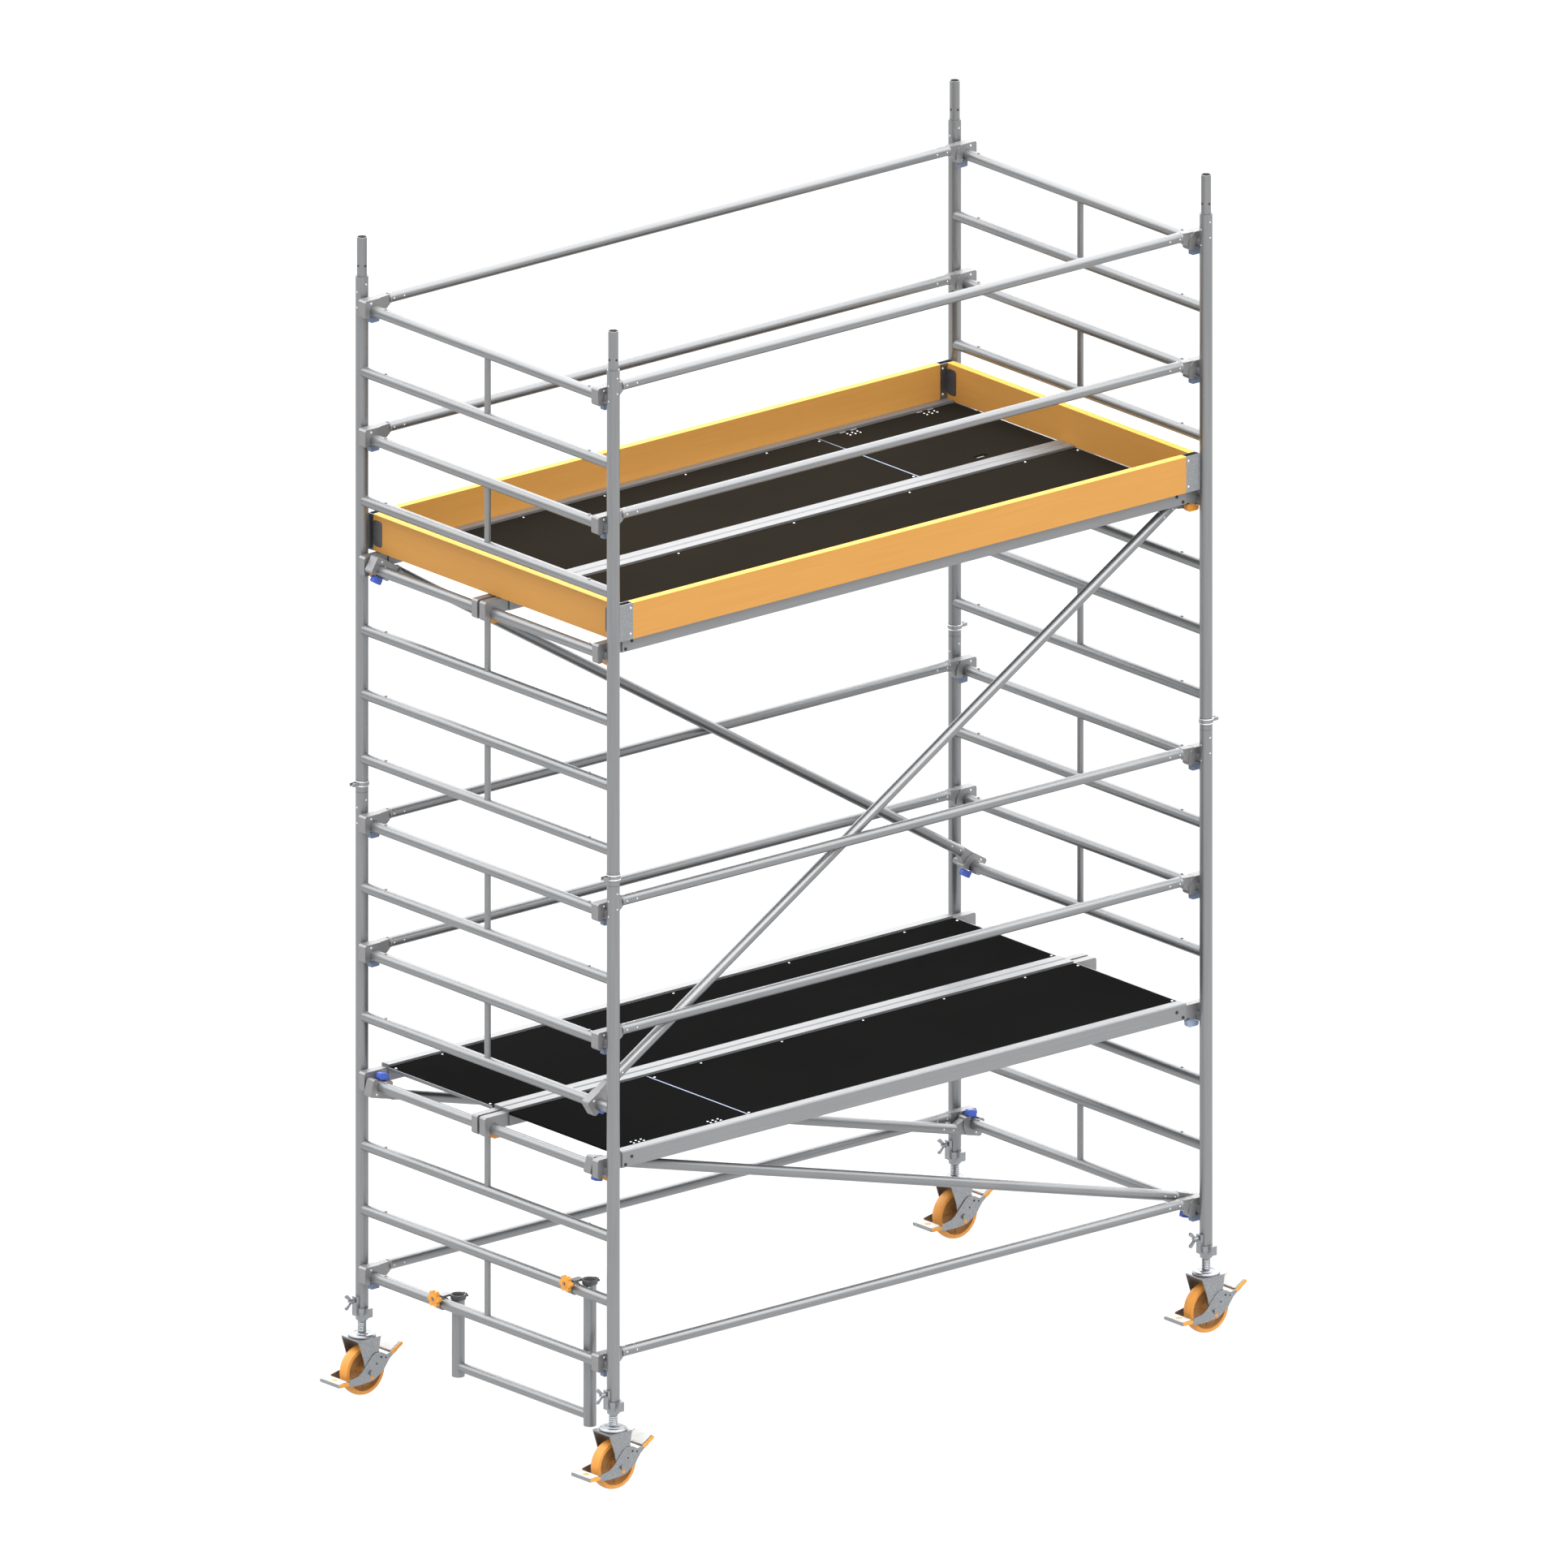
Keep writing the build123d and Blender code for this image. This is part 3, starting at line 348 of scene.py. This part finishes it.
NUB_INSET = 0.137  # small studs on each rung, inboard of the posts' axes
CRIMP_DROPS = (0.03, 0.09)  # dents that hold the spigots, below the posts' tops
rung_nubs = Shape()
post_marks = Shape()
for x in (-POST_X, POST_X):
    for z in RUNG_Z.values():
        for y in (-POST_Y + NUB_INSET, POST_Y - NUB_INSET):
            rung_nubs.turned([(0.0055, 0), (0.0055, 0.003), (0.004, 0.0045), (0, 0.005)],
                             (x, y, z + RUNG_R - 0.001), (0, 0, 1), 14)
    for y in (-POST_Y, POST_Y):
        for top in (POST_FOOT + FRAME_HEIGHT, POST_FOOT + 2 * FRAME_HEIGHT):
            for drop in CRIMP_DROPS:
                post_marks.rivet((x, y - POST_R + 0.0008, top - drop), (0, -1, 0), 0.004, 0.0014)
                post_marks.rivet((x - POST_R + 0.0008, y, top - drop - 0.03), (-1, 0, 0), 0.004, 0.0014)
rung_nubs.piece("rung_nubs", frame_tube)
post_marks.piece("post_crimp_marks", bright_rivet)

# ---- Spigots and joint clips
# Spigots are plain tube pressed into each post's top, with a pin hole; wire clips of bright
# zinc lock the upper posts on them.
spigot_tube = drawn_tube("spigot_tube", (14.0, 14.0, 0.5))
spigot_tube.dress("frame_spigots")
zinc = Finish("bright_zinc", metallic=1.0)
spangle = zinc.place.put("ShaderNodeTexVoronoi", inputs={"Vector": zinc.place, "Scale": 160.0},
                         output="Distance")
zinc.colour(zinc.blend(spangle, (0.24, 0.25, 0.26, 1), (0.34, 0.35, 0.365, 1)))
zinc.rough(zinc.noise(40.0) * 0.2 + 0.28)
zinc.bump(spangle, 0.0002, 0.3)
zinc.dress("joint_clips", "toe_board_brackets", "hatch_hinges")
SPIGOT_R = 0.019
PIN_ABOVE_POST = 0.04
CLIP_R = 0.0270
CLIP_RIDGE_R = 0.0018
CLIP_RIDGES = (0.0245, 0.041)  # heights above the joint
pin_holes = Shape()
clip_ridges = Shape()
for x, y in POSTS.values():
    for face in ((0, -1, 0), (-1, 0, 0)):
        on_axis = np.array((x, y, POST_FOOT + 2 * FRAME_HEIGHT + PIN_ABOVE_POST))
        spot = on_axis + np.array(face) * (SPIGOT_R - 0.0004)
        # Painted shade: each pin hole is a thin black disc, standing in for the shade inside the hole.
        pin_holes.turned([(0, 0.0006), (0.0045, 0.0006), (0.005, 0.0)], spot, face, 16)
    for rise in CLIP_RIDGES:
        ring = np.linspace(0, np.pi, 6)
        half_round = np.stack([CLIP_R + CLIP_RIDGE_R * np.sin(ring), -CLIP_RIDGE_R * np.cos(ring)], 1)
        clip_ridges.turned(half_round, (x, y, POST_FOOT + FRAME_HEIGHT + rise), (0, 0, 1), 36)
pin_holes.piece("spigot_pin_holes", black_bolt_and_hole_shade)
clip_ridges.piece("clip_ridges", bright_rivet)

# ---- Braces, claws and latches
# Round tube braces end in cast claws that hook over the rungs; each claw is crimped on with
# a collar and has a spring latch of moulded plastic under the rung.
brace_tube = drawn_tube("brace_tube", (0.35, 14.0, 14.0))
brace_tube.dress("front_horizontal_braces", "rear_horizontal_braces")
diagonal_tube = drawn_tube("diagonal_tube", (0.4, 6.0, 0.4))
diagonal_tube.dress("front_upper_diagonal", "rear_upper_diagonal",
                    "front_lower_diagonal", "rear_lower_diagonal")
cast = Finish("cast_aluminium", metallic=0.7)
sand = cast.noise(420.0, 4.0)
cast.colour(cast.blend(sand * 0.6 + cast.noise(30.0) * 0.4, (0.20, 0.20, 0.205, 1),
                       (0.29, 0.29, 0.295, 1)))
cast.rough(sand * 0.2 + 0.36)
cast.bump(sand, 0.0005, 0.4)
cast.dress("brace_claws", "deck_claws")


def plastic(name, deep, pale):
    """Moulded plastic with a faint grain and slightly scuffed, paler patches."""
    finish = Finish(name, specular_ior_level=0.4)
    scuff = finish.noise(38.0, 4.0)
    finish.scuffed = finish.blend(scuff, deep, pale)
    finish.colour(finish.scuffed)
    finish.rough(scuff * 0.25 + 0.32)
    finish.bump(finish.noise(700.0, 2.0), 0.0002, 0.3)
    return finish


grey_plastic = plastic("grey_plastic", (0.11, 0.145, 0.225, 1), (0.17, 0.21, 0.30, 1))
grey_plastic.dress("grey_brace_latches")
blue_plastic = plastic("blue_plastic", (0.03, 0.075, 0.40, 1), (0.05, 0.11, 0.52, 1))
blue_plastic.dress("blue_diagonal_latches")

BRACE_INSET = 0.053  # braces run inboard of the posts' axes, diagonals further in
DIAGONAL_INSET = 0.094
BRACE_RUNGS = (1, 3, 9, 11, 16)
AXIS_OVER_RUNG = 0.0285
CLAW_HALF = 0.0195
NECK_HALF = 0.0150
brace_ends = []
for side in (-1, 1):
    for rung in BRACE_RUNGS:
        for end in (-1, 1):
            brace_ends.append((end * POST_X, side * (POST_Y - BRACE_INSET), RUNG_Z[rung], (-end, 0, 0), 1))
# Side, left rung and right rung of each diagonal, and whether its claws hook from above (1) or below.
diagonal_rungs = {(-1, 12, 5): 1, (1, 5, 12): 1, (-1, 13, 16): 1, (1, 13, 16): -1}
for (side, left, right), over in diagonal_rungs.items():
    diagonal_y = side * (POST_Y - DIAGONAL_INSET)
    run = np.array((2 * POST_X, 0, RUNG_Z[right] - RUNG_Z[left]))
    run /= np.linalg.norm(run)
    brace_ends.append((-POST_X, diagonal_y, RUNG_Z[left], tuple(run), over))
    brace_ends.append((POST_X, diagonal_y, RUNG_Z[right], tuple(-run), over))

collars = Shape()
claw_rivets = Shape()
for x, y, z, along, over in brace_ends:
    along = np.array(along)
    square = np.array((-along[2], 0, along[0])) * over * (1 if along[0] > 0 else -1)
    root = np.array((x, y, z))
    axis_start = root + square * AXIS_OVER_RUNG
    collars.turned([(0.0199, 0.077), (0.0212, 0.0785), (0.0216, 0.081), (0.0212, 0.0835),
                    (0.0202, 0.086), (0.0201, 0.088)], axis_start, along, 28)
    for reach in (0.096, 0.144):
        spot = axis_start + along * reach
        claw_rivets.rivet(spot + np.array((0, -CLAW_HALF, 0)), (0, -1, 0), 0.0035, 0.0015)
        claw_rivets.rivet(spot + square * CLAW_HALF, square, 0.0035, 0.0015)
    for face in (-1, 1):
        for inboard, rise, half in ((0.035, 0.029, NECK_HALF), (-0.016, 0.031, CLAW_HALF)):
            spot = root + along * inboard + square * rise + np.array((0, face * half, 0))
            claw_rivets.rivet(spot, (0, face, 0), 0.0045, 0.0018)
collars.piece("brace_collars", cast)
claw_rivets.piece("claw_rivets", bright_rivet)

# ---- Decks
# Two box rails of aluminium with black phenolic plywood let in between them and riveted down.
# The board has a fine raised anti-slip mesh; one hatch lid per level is hung on steel hinges.
rail = drawn_tube("deck_rail", (0.3, 16.0, 16.0), (0.25, 0.254, 0.26, 1), (0.19, 0.193, 0.20, 1), 0.55)
deck_names = ("lower_front", "lower_rear", "upper_front", "upper_rear")
rail.dress(*(f"{deck}_deck_frame" for deck in deck_names))
BETWEEN_LEVELS = 2.5
deck_board = Finish("anti_slip_board", specular_ior_level=0.0)
mesh_cells = deck_board.place.put("ShaderNodeTexVoronoi", {"feature": "DISTANCE_TO_EDGE"},
                                  {"Vector": deck_board.place, "Scale": 230.0}, "Distance")
worn = deck_board.noise(2.2, 5.0)
# Painted light: the upper decks' boards are coloured lighter and warmer, and the lower decks' boards darker
# as painted shade under the upper deck.
lit_upper_level = deck_board.z > BETWEEN_LEVELS
shaded_lower_board = deck_board.blend(worn, (0.0062, 0.0062, 0.0062, 1), (0.0085, 0.0085, 0.0083, 1))
lit_upper_board = deck_board.blend(worn, (0.012, 0.0104, 0.008, 1), (0.017, 0.014, 0.0105, 1))
deck_board.colour(deck_board.blend(lit_upper_level, shaded_lower_board, lit_upper_board))
deck_board.rough(mesh_cells * 0.6 + 0.62)
deck_board.bump(mesh_cells, 0.0006, 0.5)
lids = {"lower_front": "lower_front_hatch_lid", "upper_rear": "upper_rear_hatch_lid"}
lid_bodies = {"lower_front": "lower_hatch", "upper_rear": "upper_hatch"}
deck_board.dress(*(f"{deck}_deck_board" for deck in deck_names), *lids.values())

deck_latch = plastic("deck_latch_plastic", (0.55, 0.22, 0.025, 1), (0.64, 0.28, 0.04, 1))
grey_end = (deck_latch.x > 0.0) * (deck_latch.z < BETWEEN_LEVELS)
deck_latch.colour(deck_latch.blend(grey_end, deck_latch.scuffed, (0.25, 0.31, 0.42, 1)))
deck_latch.dress("orange_deck_latches")

edge_strip = Finish("edge_strip", metallic=0.8)
edge_strip.colour(edge_strip.blend(edge_strip.noise(80.0), (0.24, 0.30, 0.42, 1),
                                   (0.34, 0.41, 0.55, 1)))
edge_strip.rough(edge_strip.noise(30.0) * 0.2 + 0.3)
BOARD_END_X = 1.361  # where a board ends at its deck's end, and not beside a hatch
RIM_T = 0.003
STRIP_HALF = 0.0025
DECK_BOTTOM_DROP = 0.0015
LID_HINGE_Y = 0.6475 - 0.012  # the rail's outer face less the hinge's inset
board_rims = Shape()
board_rivets = Shape()
rail_bolts = Shape()
for deck in deck_names:
    low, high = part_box(f"{deck}_deck_board")
    rail_low, rail_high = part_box(f"{deck}_deck_frame")
    walk = high[2]
    side = -1 if high[1] < 0 else 1
    for x in (low[0], high[0]):
        out = -1 if x < 0 else 1
        if abs(abs(x) - BOARD_END_X) < 0.01:
            edge = sorted((x, x + out * RIM_T))
            board_rims.block((edge[0], low[1], walk - 0.012), (edge[1], high[1], walk + 0.0005))
        for y in (low[1] + 0.03, high[1] - 0.03):
            board_rivets.rivet((x - out * 0.012, y, walk), (0, 0, 1), 0.005, 0.0022)
    for x in np.linspace(low[0] + 0.25, high[0] - 0.25, 5):
        for y in (low[1] + 0.012, high[1] - 0.012):
            board_rivets.rivet((x, y, walk), (0, 0, 1), 0.0045, 0.002)
    for end in (-1, 1):
        for reach, rise in ((1.310, 0.035), (1.340, 0.009)):
            for y, face in ((rail_low[1], -1), (rail_high[1], 1)):
                spot = (end * reach, y, rail_low[2] + DECK_BOTTOM_DROP + rise)
                rail_bolts.turned([(0.0065, 0), (0.0062, 0.002), (0.0045, 0.0032), (0, 0.0034)],
                                  spot, (0, face, 0), 16)
    if deck in lids:
        lid_low, lid_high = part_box(lids[deck])
        inner = lid_low[0] if lid_low[0] > 0 else lid_high[0]
        strip = Shape()
        lid_rivets = Shape()
        out = 1 if inner > 0 else -1
        edge = sorted((inner - out * STRIP_HALF, inner + out * STRIP_HALF))
        strip.block((edge[0], low[1] + 0.002, walk - 0.006), (edge[1], high[1] - 0.004, walk + 0.0008))
        for share in (0.22, 0.78):
            middle = lid_low[0] + share * (lid_high[0] - lid_low[0])
            for row in (-1, 0, 1):
                for inward in (0.018, 0.036):
                    spot = (middle + row * 0.024, side * LID_HINGE_Y - side * inward, walk)
                    lid_rivets.rivet(spot, (0, 0, 1), 0.0045, 0.002)
        strip.piece(f"{deck}_lid_strip", edge_strip, lid_bodies[deck])
        lid_rivets.piece(f"{deck}_lid_rivets", bright_rivet, lid_bodies[deck])
board_rims.piece("board_rims", rail, bevel=0.0006)
board_rivets.piece("board_rivets", bright_rivet)
rail_bolts.piece("rail_bolts", black_bolt_and_hole_shade)

# ---- Toe boards
# Timber boards with an orange coating, painted paler along the top edge as a painted highlight,
# held in folded zinc channels by pairs of rivets; a rounded plate guards each end board's end.
toe_low, toe_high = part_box("front_toe_board")
TOP_HIGHLIGHT_DEPTH = 0.0012


def coated_board(name, stretch):
    """Orange coating over timber whose grain runs along the axis whose stretch is small."""
    finish = Finish(name, specular_ior_level=0.25)
    grain = finish.noise(6.0, 6.0, stretch)
    patch = finish.noise(1.6, 2.0)
    face = finish.blend(grain * 0.7 + patch * 0.3, (0.40, 0.185, 0.034, 1), (0.49, 0.245, 0.062, 1))
    # Painted highlight: the top face and the top 1.2 mm of each board are coloured paler, standing in for
    # the overhead light on them.
    edge = finish.z > toe_high[2] - TOP_HIGHLIGHT_DEPTH
    finish.colour(finish.blend(edge, face, (0.80, 0.42, 0.06, 1)))
    finish.rough(grain * 0.25 + 0.42)
    finish.bump(grain, 0.0006, 0.35)
    return finish


long_board = coated_board("coated_board_long", (0.5, 16.0, 16.0))
long_board.dress("front_toe_board", "rear_toe_board")
end_board = coated_board("coated_board_end", (16.0, 0.5, 16.0))
end_board.dress("left_toe_board", "right_toe_board")
dark_plate = Finish("dark_plate", metallic=0.7)
dark_plate.colour(dark_plate.blend(dark_plate.noise(60.0), (0.07, 0.07, 0.075, 1),
                                   (0.13, 0.13, 0.135, 1)))
dark_plate.rough(dark_plate.noise(35.0) * 0.2 + 0.4)
PLATE_T = 0.0012
PLATE_Y = 0.665
BRACKET_OUTER_X, BRACKET_INNER_X = 1.341, 1.343
BRACKET_INNER_Y = 0.690
corner_plates = Shape()
bracket_rivets = Shape()
end_low, end_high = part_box("right_toe_board")
middle_z = (toe_low[2] + toe_high[2]) / 2
for x_side in (-1, 1):
    for y_side in (-1, 1):
        for x_face, turn in ((end_high[0], 1), (end_low[0], -1)):
            spot = (x_side * x_face + x_side * turn * PLATE_T, y_side * PLATE_Y, middle_z)
            corner_plates.plate(rounded(0.050, 0.100, 0.012), spot, (0, x_side * turn, 0), (0, 0, 1),
                                PLATE_T)
        for rise in (0.022, 0.122):
            outer = (x_side * BRACKET_OUTER_X, y_side * (-toe_low[1]), toe_low[2] + rise)
            inner = (x_side * BRACKET_INNER_X, y_side * BRACKET_INNER_Y, toe_low[2] + rise)
            bracket_rivets.rivet(outer, (0, y_side, 0), 0.0045, 0.002)
            bracket_rivets.rivet(inner, (0, -y_side, 0), 0.0045, 0.002)
corner_plates.piece("toe_corner_plates", dark_plate, bevel=0.0003)
bracket_rivets.piece("toe_bracket_rivets", bright_rivet)

# ---- Entry step
# A step of the same tube hung on two rungs by clamp couplers, tightened with star knobs of
# orange plastic. A dark ring with two ears and a cross bolt closes round each upright's top.
step_tube = drawn_tube("step_tube", (14.0, 2.0, 1.0))
step_tube.dress("entry_step")
orange_plastic = plastic("orange_plastic", (0.55, 0.22, 0.025, 1), (0.64, 0.28, 0.04, 1))
orange_plastic.dress("near_step_knob", "far_step_knob")
NEAR_UPRIGHT_INSET, FAR_UPRIGHT_INSET = 0.190, 0.496  # from the posts' axes
UPRIGHT_OVER_RUNG = 0.030
RING_SHIFT = 0.004
EAR_DROP = 0.006
UPRIGHTS = ((-POST_Y + NEAR_UPRIGHT_INSET, RUNG_Z[15] + UPRIGHT_OVER_RUNG),
            (POST_Y - FAR_UPRIGHT_INSET, RUNG_Z[16] + UPRIGHT_OVER_RUNG))
upright_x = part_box("entry_step")[1][0] - POST_R - RING_SHIFT
clamp_rings = Shape()
for upright_y, top_z in UPRIGHTS:
    clamp_rings.turned([(0.0250, -0.0145), (0.0290, -0.0140), (0.0292, 0.0025), (0.0285, 0.0035),
                        (0.0250, 0.0036)], (upright_x, upright_y, top_z), (0, 0, 1), 36)
    for turn in (-1, 1):
        ear = (upright_x + 0.033, upright_y + turn * 0.006 + 0.002, top_z - EAR_DROP)
        clamp_rings.plate(rounded(0.014, 0.016, 0.003), ear, (1, 0, 0), (0, 0, 1), 0.004)
    clamp_rings.turned([(0.0, -0.013), (0.0045, -0.013), (0.0045, 0.013), (0.0, 0.013)],
                       (upright_x + 0.034, upright_y, top_z - EAR_DROP), (0, 1, 0), 16)
clamp_rings.piece("step_clamp_rings", dark_plate, bevel=0.0004)
for knob, body in (("near_step_knob", "near_knob"), ("far_step_knob", "far_knob")):
    knob_low, knob_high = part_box(knob)
    centre = (knob_low[0], (knob_low[1] + knob_high[1]) / 2, (knob_low[2] + knob_high[2]) / 2)
    boss = Shape()
    boss.turned([(0.0160, 0.0), (0.0155, 0.0012), (0.0145, 0.0018), (0.0105, 0.0020), (0.0095, 0.0012),
                 (0.0090, 0.0)], centre, (-1, 0, 0), 32)
    boss.piece(f"{knob}_boss", orange_plastic, body)

# ---- Castors
# A braked swivel castor under each post: a threaded leg and race ring, a pressed zinc fork, an
# orange tyre on a moulded centre painted darker as painted shade in its recess under the fork,
# and a double pedal on pressed arms. A collar nut sets the height, and a wing screw locks it.
zinc.dress(*(f"{post}_{part}" for post in POSTS for part in ("fork", "spindle_nut", "wing_screw")))
wheel_low, wheel_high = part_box("rear_left_wheel")
WHEEL_R = (wheel_high[2] - wheel_low[2]) / 2
TYRE_INNER_R = 0.0775


def wheel_finish(post, x):
    """Orange tyre beyond the rim and a centre painted darker and browner as painted shade in its recess,
    told apart by distance from the axle.
    """
    finish = Finish(f"{post}_wheel", specular_ior_level=0.35)
    along = finish.x - x
    rise = finish.z - WHEEL_R
    distance = finish.x.maths("SQRT", along * along + rise * rise)
    scuff = finish.noise(45.0, 4.0)
    # Painted shade: the centre inside the tyre is coloured much darker and browner than the tyre, standing
    # in for shade in the recess under the fork.
    centre = finish.blend(scuff, (0.26, 0.115, 0.03, 1), (0.34, 0.155, 0.045, 1))
    tyre = finish.blend(scuff, (0.50, 0.195, 0.028, 1), (0.60, 0.26, 0.05, 1))
    finish.colour(finish.blend(distance > TYRE_INNER_R, centre, tyre))
    finish.rough(scuff * 0.25 + 0.4)
    finish.bump(finish.noise(500.0, 2.0), 0.0003, 0.3)
    finish.dress(f"{post}_wheel")
    return finish


pale_tread = plastic("pale_tread", (0.44, 0.44, 0.43, 1), (0.56, 0.56, 0.55, 1))
lever_finish = Finish("brake_pedals", specular_ior_level=0.35)
lever_scuff = lever_finish.noise(45.0, 4.0)
lever_finish.colour(lever_finish.blend(lever_scuff, (0.55, 0.22, 0.025, 1), (0.64, 0.28, 0.045, 1)))
lever_finish.rough(lever_scuff * 0.2 + 0.38)
lever_finish.bump(lever_finish.noise(600.0, 2.0), 0.0003, 0.3)
LEG_R = 0.01725
THREAD_PITCH = 0.007
THREAD_DEPTH = 0.0020
THREAD_LOW, THREAD_HIGH = 0.03, 0.29


def screw_thread(angle, height, radius):
    """A ridge that climbs one pitch each turn: the radius dips by a raised cosine between ridges."""
    wave = 0.5 + 0.5 * np.cos(2 * np.pi * height / THREAD_PITCH - angle)
    threaded = (np.abs(radius - LEG_R) < 1e-6) & (height > THREAD_LOW) & (height < THREAD_HIGH)
    return radius - threaded * THREAD_DEPTH * wave ** 0.8 + 0 * angle


PEDAL_BACK = 0.131  # lower pedal's middle, behind the axle
PEDAL_CAP_Z = 0.0735
TREAD_Z = 0.0812
SLOPE_RUN, SLOPE_RISE = 0.052, 0.031  # the upper pedal's slope
CAP_PROUD = 0.0012
CAP_T = 0.004
TREAD_T = 0.0014
ARM_PROUD = 0.0002
ARM_SIDE = [(0.036, 0.072), (0.086, 0.036), (0.104, 0.050), (0.126, 0.062), (0.120, 0.073),
            (0.100, 0.064), (0.074, 0.057), (0.050, 0.070)]
LEVER_HOLES = ((0.048, 0.052, 0.0045), (0.070, 0.046, 0.0035), (0.026, 0.030, 0.0035))
RIB_MIDDLE_R = 0.050
RIBS = 8
for post, (x, y) in POSTS.items():
    centre_finish = wheel_finish(post, x)
    spindle_low, spindle_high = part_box(f"{post}_spindle")
    length = spindle_high[2] - spindle_low[2]
    profile = [(0.0, 0.0), (0.0145, 0.0), (0.015, 0.0005), (0.015, 0.007), (0.009, 0.007), (0.009, 0.014),
               (0.0505, 0.014), (0.052, 0.0155), (0.052, 0.0195), (0.0505, 0.0215), (0.046, 0.0248),
               (0.0325, 0.025), (0.0315, 0.0235), (0.0262, 0.0235), (0.0250, 0.0255), (0.0225, 0.0268),
               (LEG_R, 0.028)]
    profile += [(LEG_R, height) for height in np.arange(0.0285, 0.292, THREAD_PITCH / 8)]
    profile += [(LEG_R, length - 0.001), (0.0165, length), (0.009, length), (0.009, length - 0.02)]
    leg = Shape()
    leg.turned(profile, (x, y, spindle_low[2]), (0, 0, 1), 40, screw_thread)
    screw = leg.piece(f"{post}_threaded_leg", zinc, f"{post}_spindle")
    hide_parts(f"{post}_spindle")
    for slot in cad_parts[f"{post}_brake_lever"].material_slots:
        slot.material = zinc.material
    lever_low, lever_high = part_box(f"{post}_brake_lever")
    half = (lever_high[1] - lever_low[1]) / 2
    pads = Shape()
    side_view = rounded(0.050, 0.0135, 0.0055)
    for face in (-1, 1):
        spot = (x - PEDAL_BACK, y + face * (half + CAP_PROUD), PEDAL_CAP_Z)
        pads.plate(side_view, spot, (-face, 0, 0), (0, 0, 1), CAP_T)
    run = np.array((SLOPE_RUN, 0, SLOPE_RISE)) / math.hypot(SLOPE_RUN, SLOPE_RISE)
    rise = np.array((-run[2], 0, run[0]))
    middle = np.array((x + WHEEL_R + 0.003 + SLOPE_RUN / 2, y, WHEEL_R + 0.057 + SLOPE_RISE / 2))
    for face in (-1, 1):
        spot = middle + np.array((0, face * (half + CAP_PROUD), 0))
        pads.plate(rounded(0.0600, 0.0135, 0.006), spot, -face * run, rise, CAP_T)
    treads = Shape()
    tread_width = 2 * half - 0.014
    treads.plate(rounded(0.044, tread_width, 0.004), (x - PEDAL_BACK, y, TREAD_Z), (1, 0, 0), (0, 1, 0),
                 TREAD_T)
    treads.plate(rounded(0.052, tread_width, 0.004), middle + rise * 0.0082, run, (0, 1, 0), TREAD_T)
    treads.piece(f"{post}_pedal_treads", pale_tread, f"{post}_brake_lever", bevel=0.0004)
    pads.turned([(0.013, 0.0), (0.0128, 0.0006), (0.0, 0.0008)], (x - PEDAL_BACK, y, TREAD_Z), (0, 0, 1), 28)
    for face in (-1, 1):
        pads.turned([(0.008, 0.0), (0.0078, 0.0012), (0.0, 0.0016)],
                    (x + 0.004, y + face * half, WHEEL_R - 0.017), (0, face, 0), 24)
    pads.piece(f"{post}_pedal_caps", lever_finish, f"{post}_brake_lever", bevel=0.0006)
    arms = Shape()
    holes = Shape()
    for face in (-1, 1):
        outline = [(-face * along, up) for along, up in ARM_SIDE][::-face]
        arms.plate(outline, (x, y + face * (half + ARM_PROUD), WHEEL_R), (-face, 0, 0), (0, 0, 1), 0.0030)
        # Painted shade: each lever hole is a thin black disc on the arm, standing in for the shade seen
        # through the hole.
        for along, up, size in LEVER_HOLES:
            holes.turned([(size, 0.0), (size * 0.9, 0.0004), (0.0, 0.0004)],
                         (x + along, y + face * (half + 0.0003), WHEEL_R + up), (0, face, 0), 20)
    arms.piece(f"{post}_pedal_arms", zinc, f"{post}_brake_lever", bevel=0.0004)
    holes.piece(f"{post}_lever_holes", black_bolt_and_hole_shade, f"{post}_brake_lever")
    hub = Shape()
    for face in (-1, 1):
        hub.turned([(0.030, 0.0), (0.030, 0.0012), (0.026, 0.0030), (0.021, 0.0035), (0.0205, 0.0)],
                   (x, y + face * 0.005, WHEEL_R), (0, face, 0), 40)
        for rib in range(RIBS):
            angle = rib * 2 * math.pi / RIBS
            along = np.array((math.cos(angle), 0, math.sin(angle)))
            centre = np.array((x, y + face * 0.0078, WHEEL_R)) + RIB_MIDDLE_R * along
            hub.plate(rounded(0.046, 0.0045, 0.0015), centre, along,
                      np.cross(np.array((0, face, 0)), along), 0.0030)
    hub.piece(f"{post}_wheel_ribs", centre_finish, f"{post}_wheel")

# ---- View transform
# The colours are shown through the Standard view transform.
bpy.context.scene.view_settings.view_transform = "Standard"
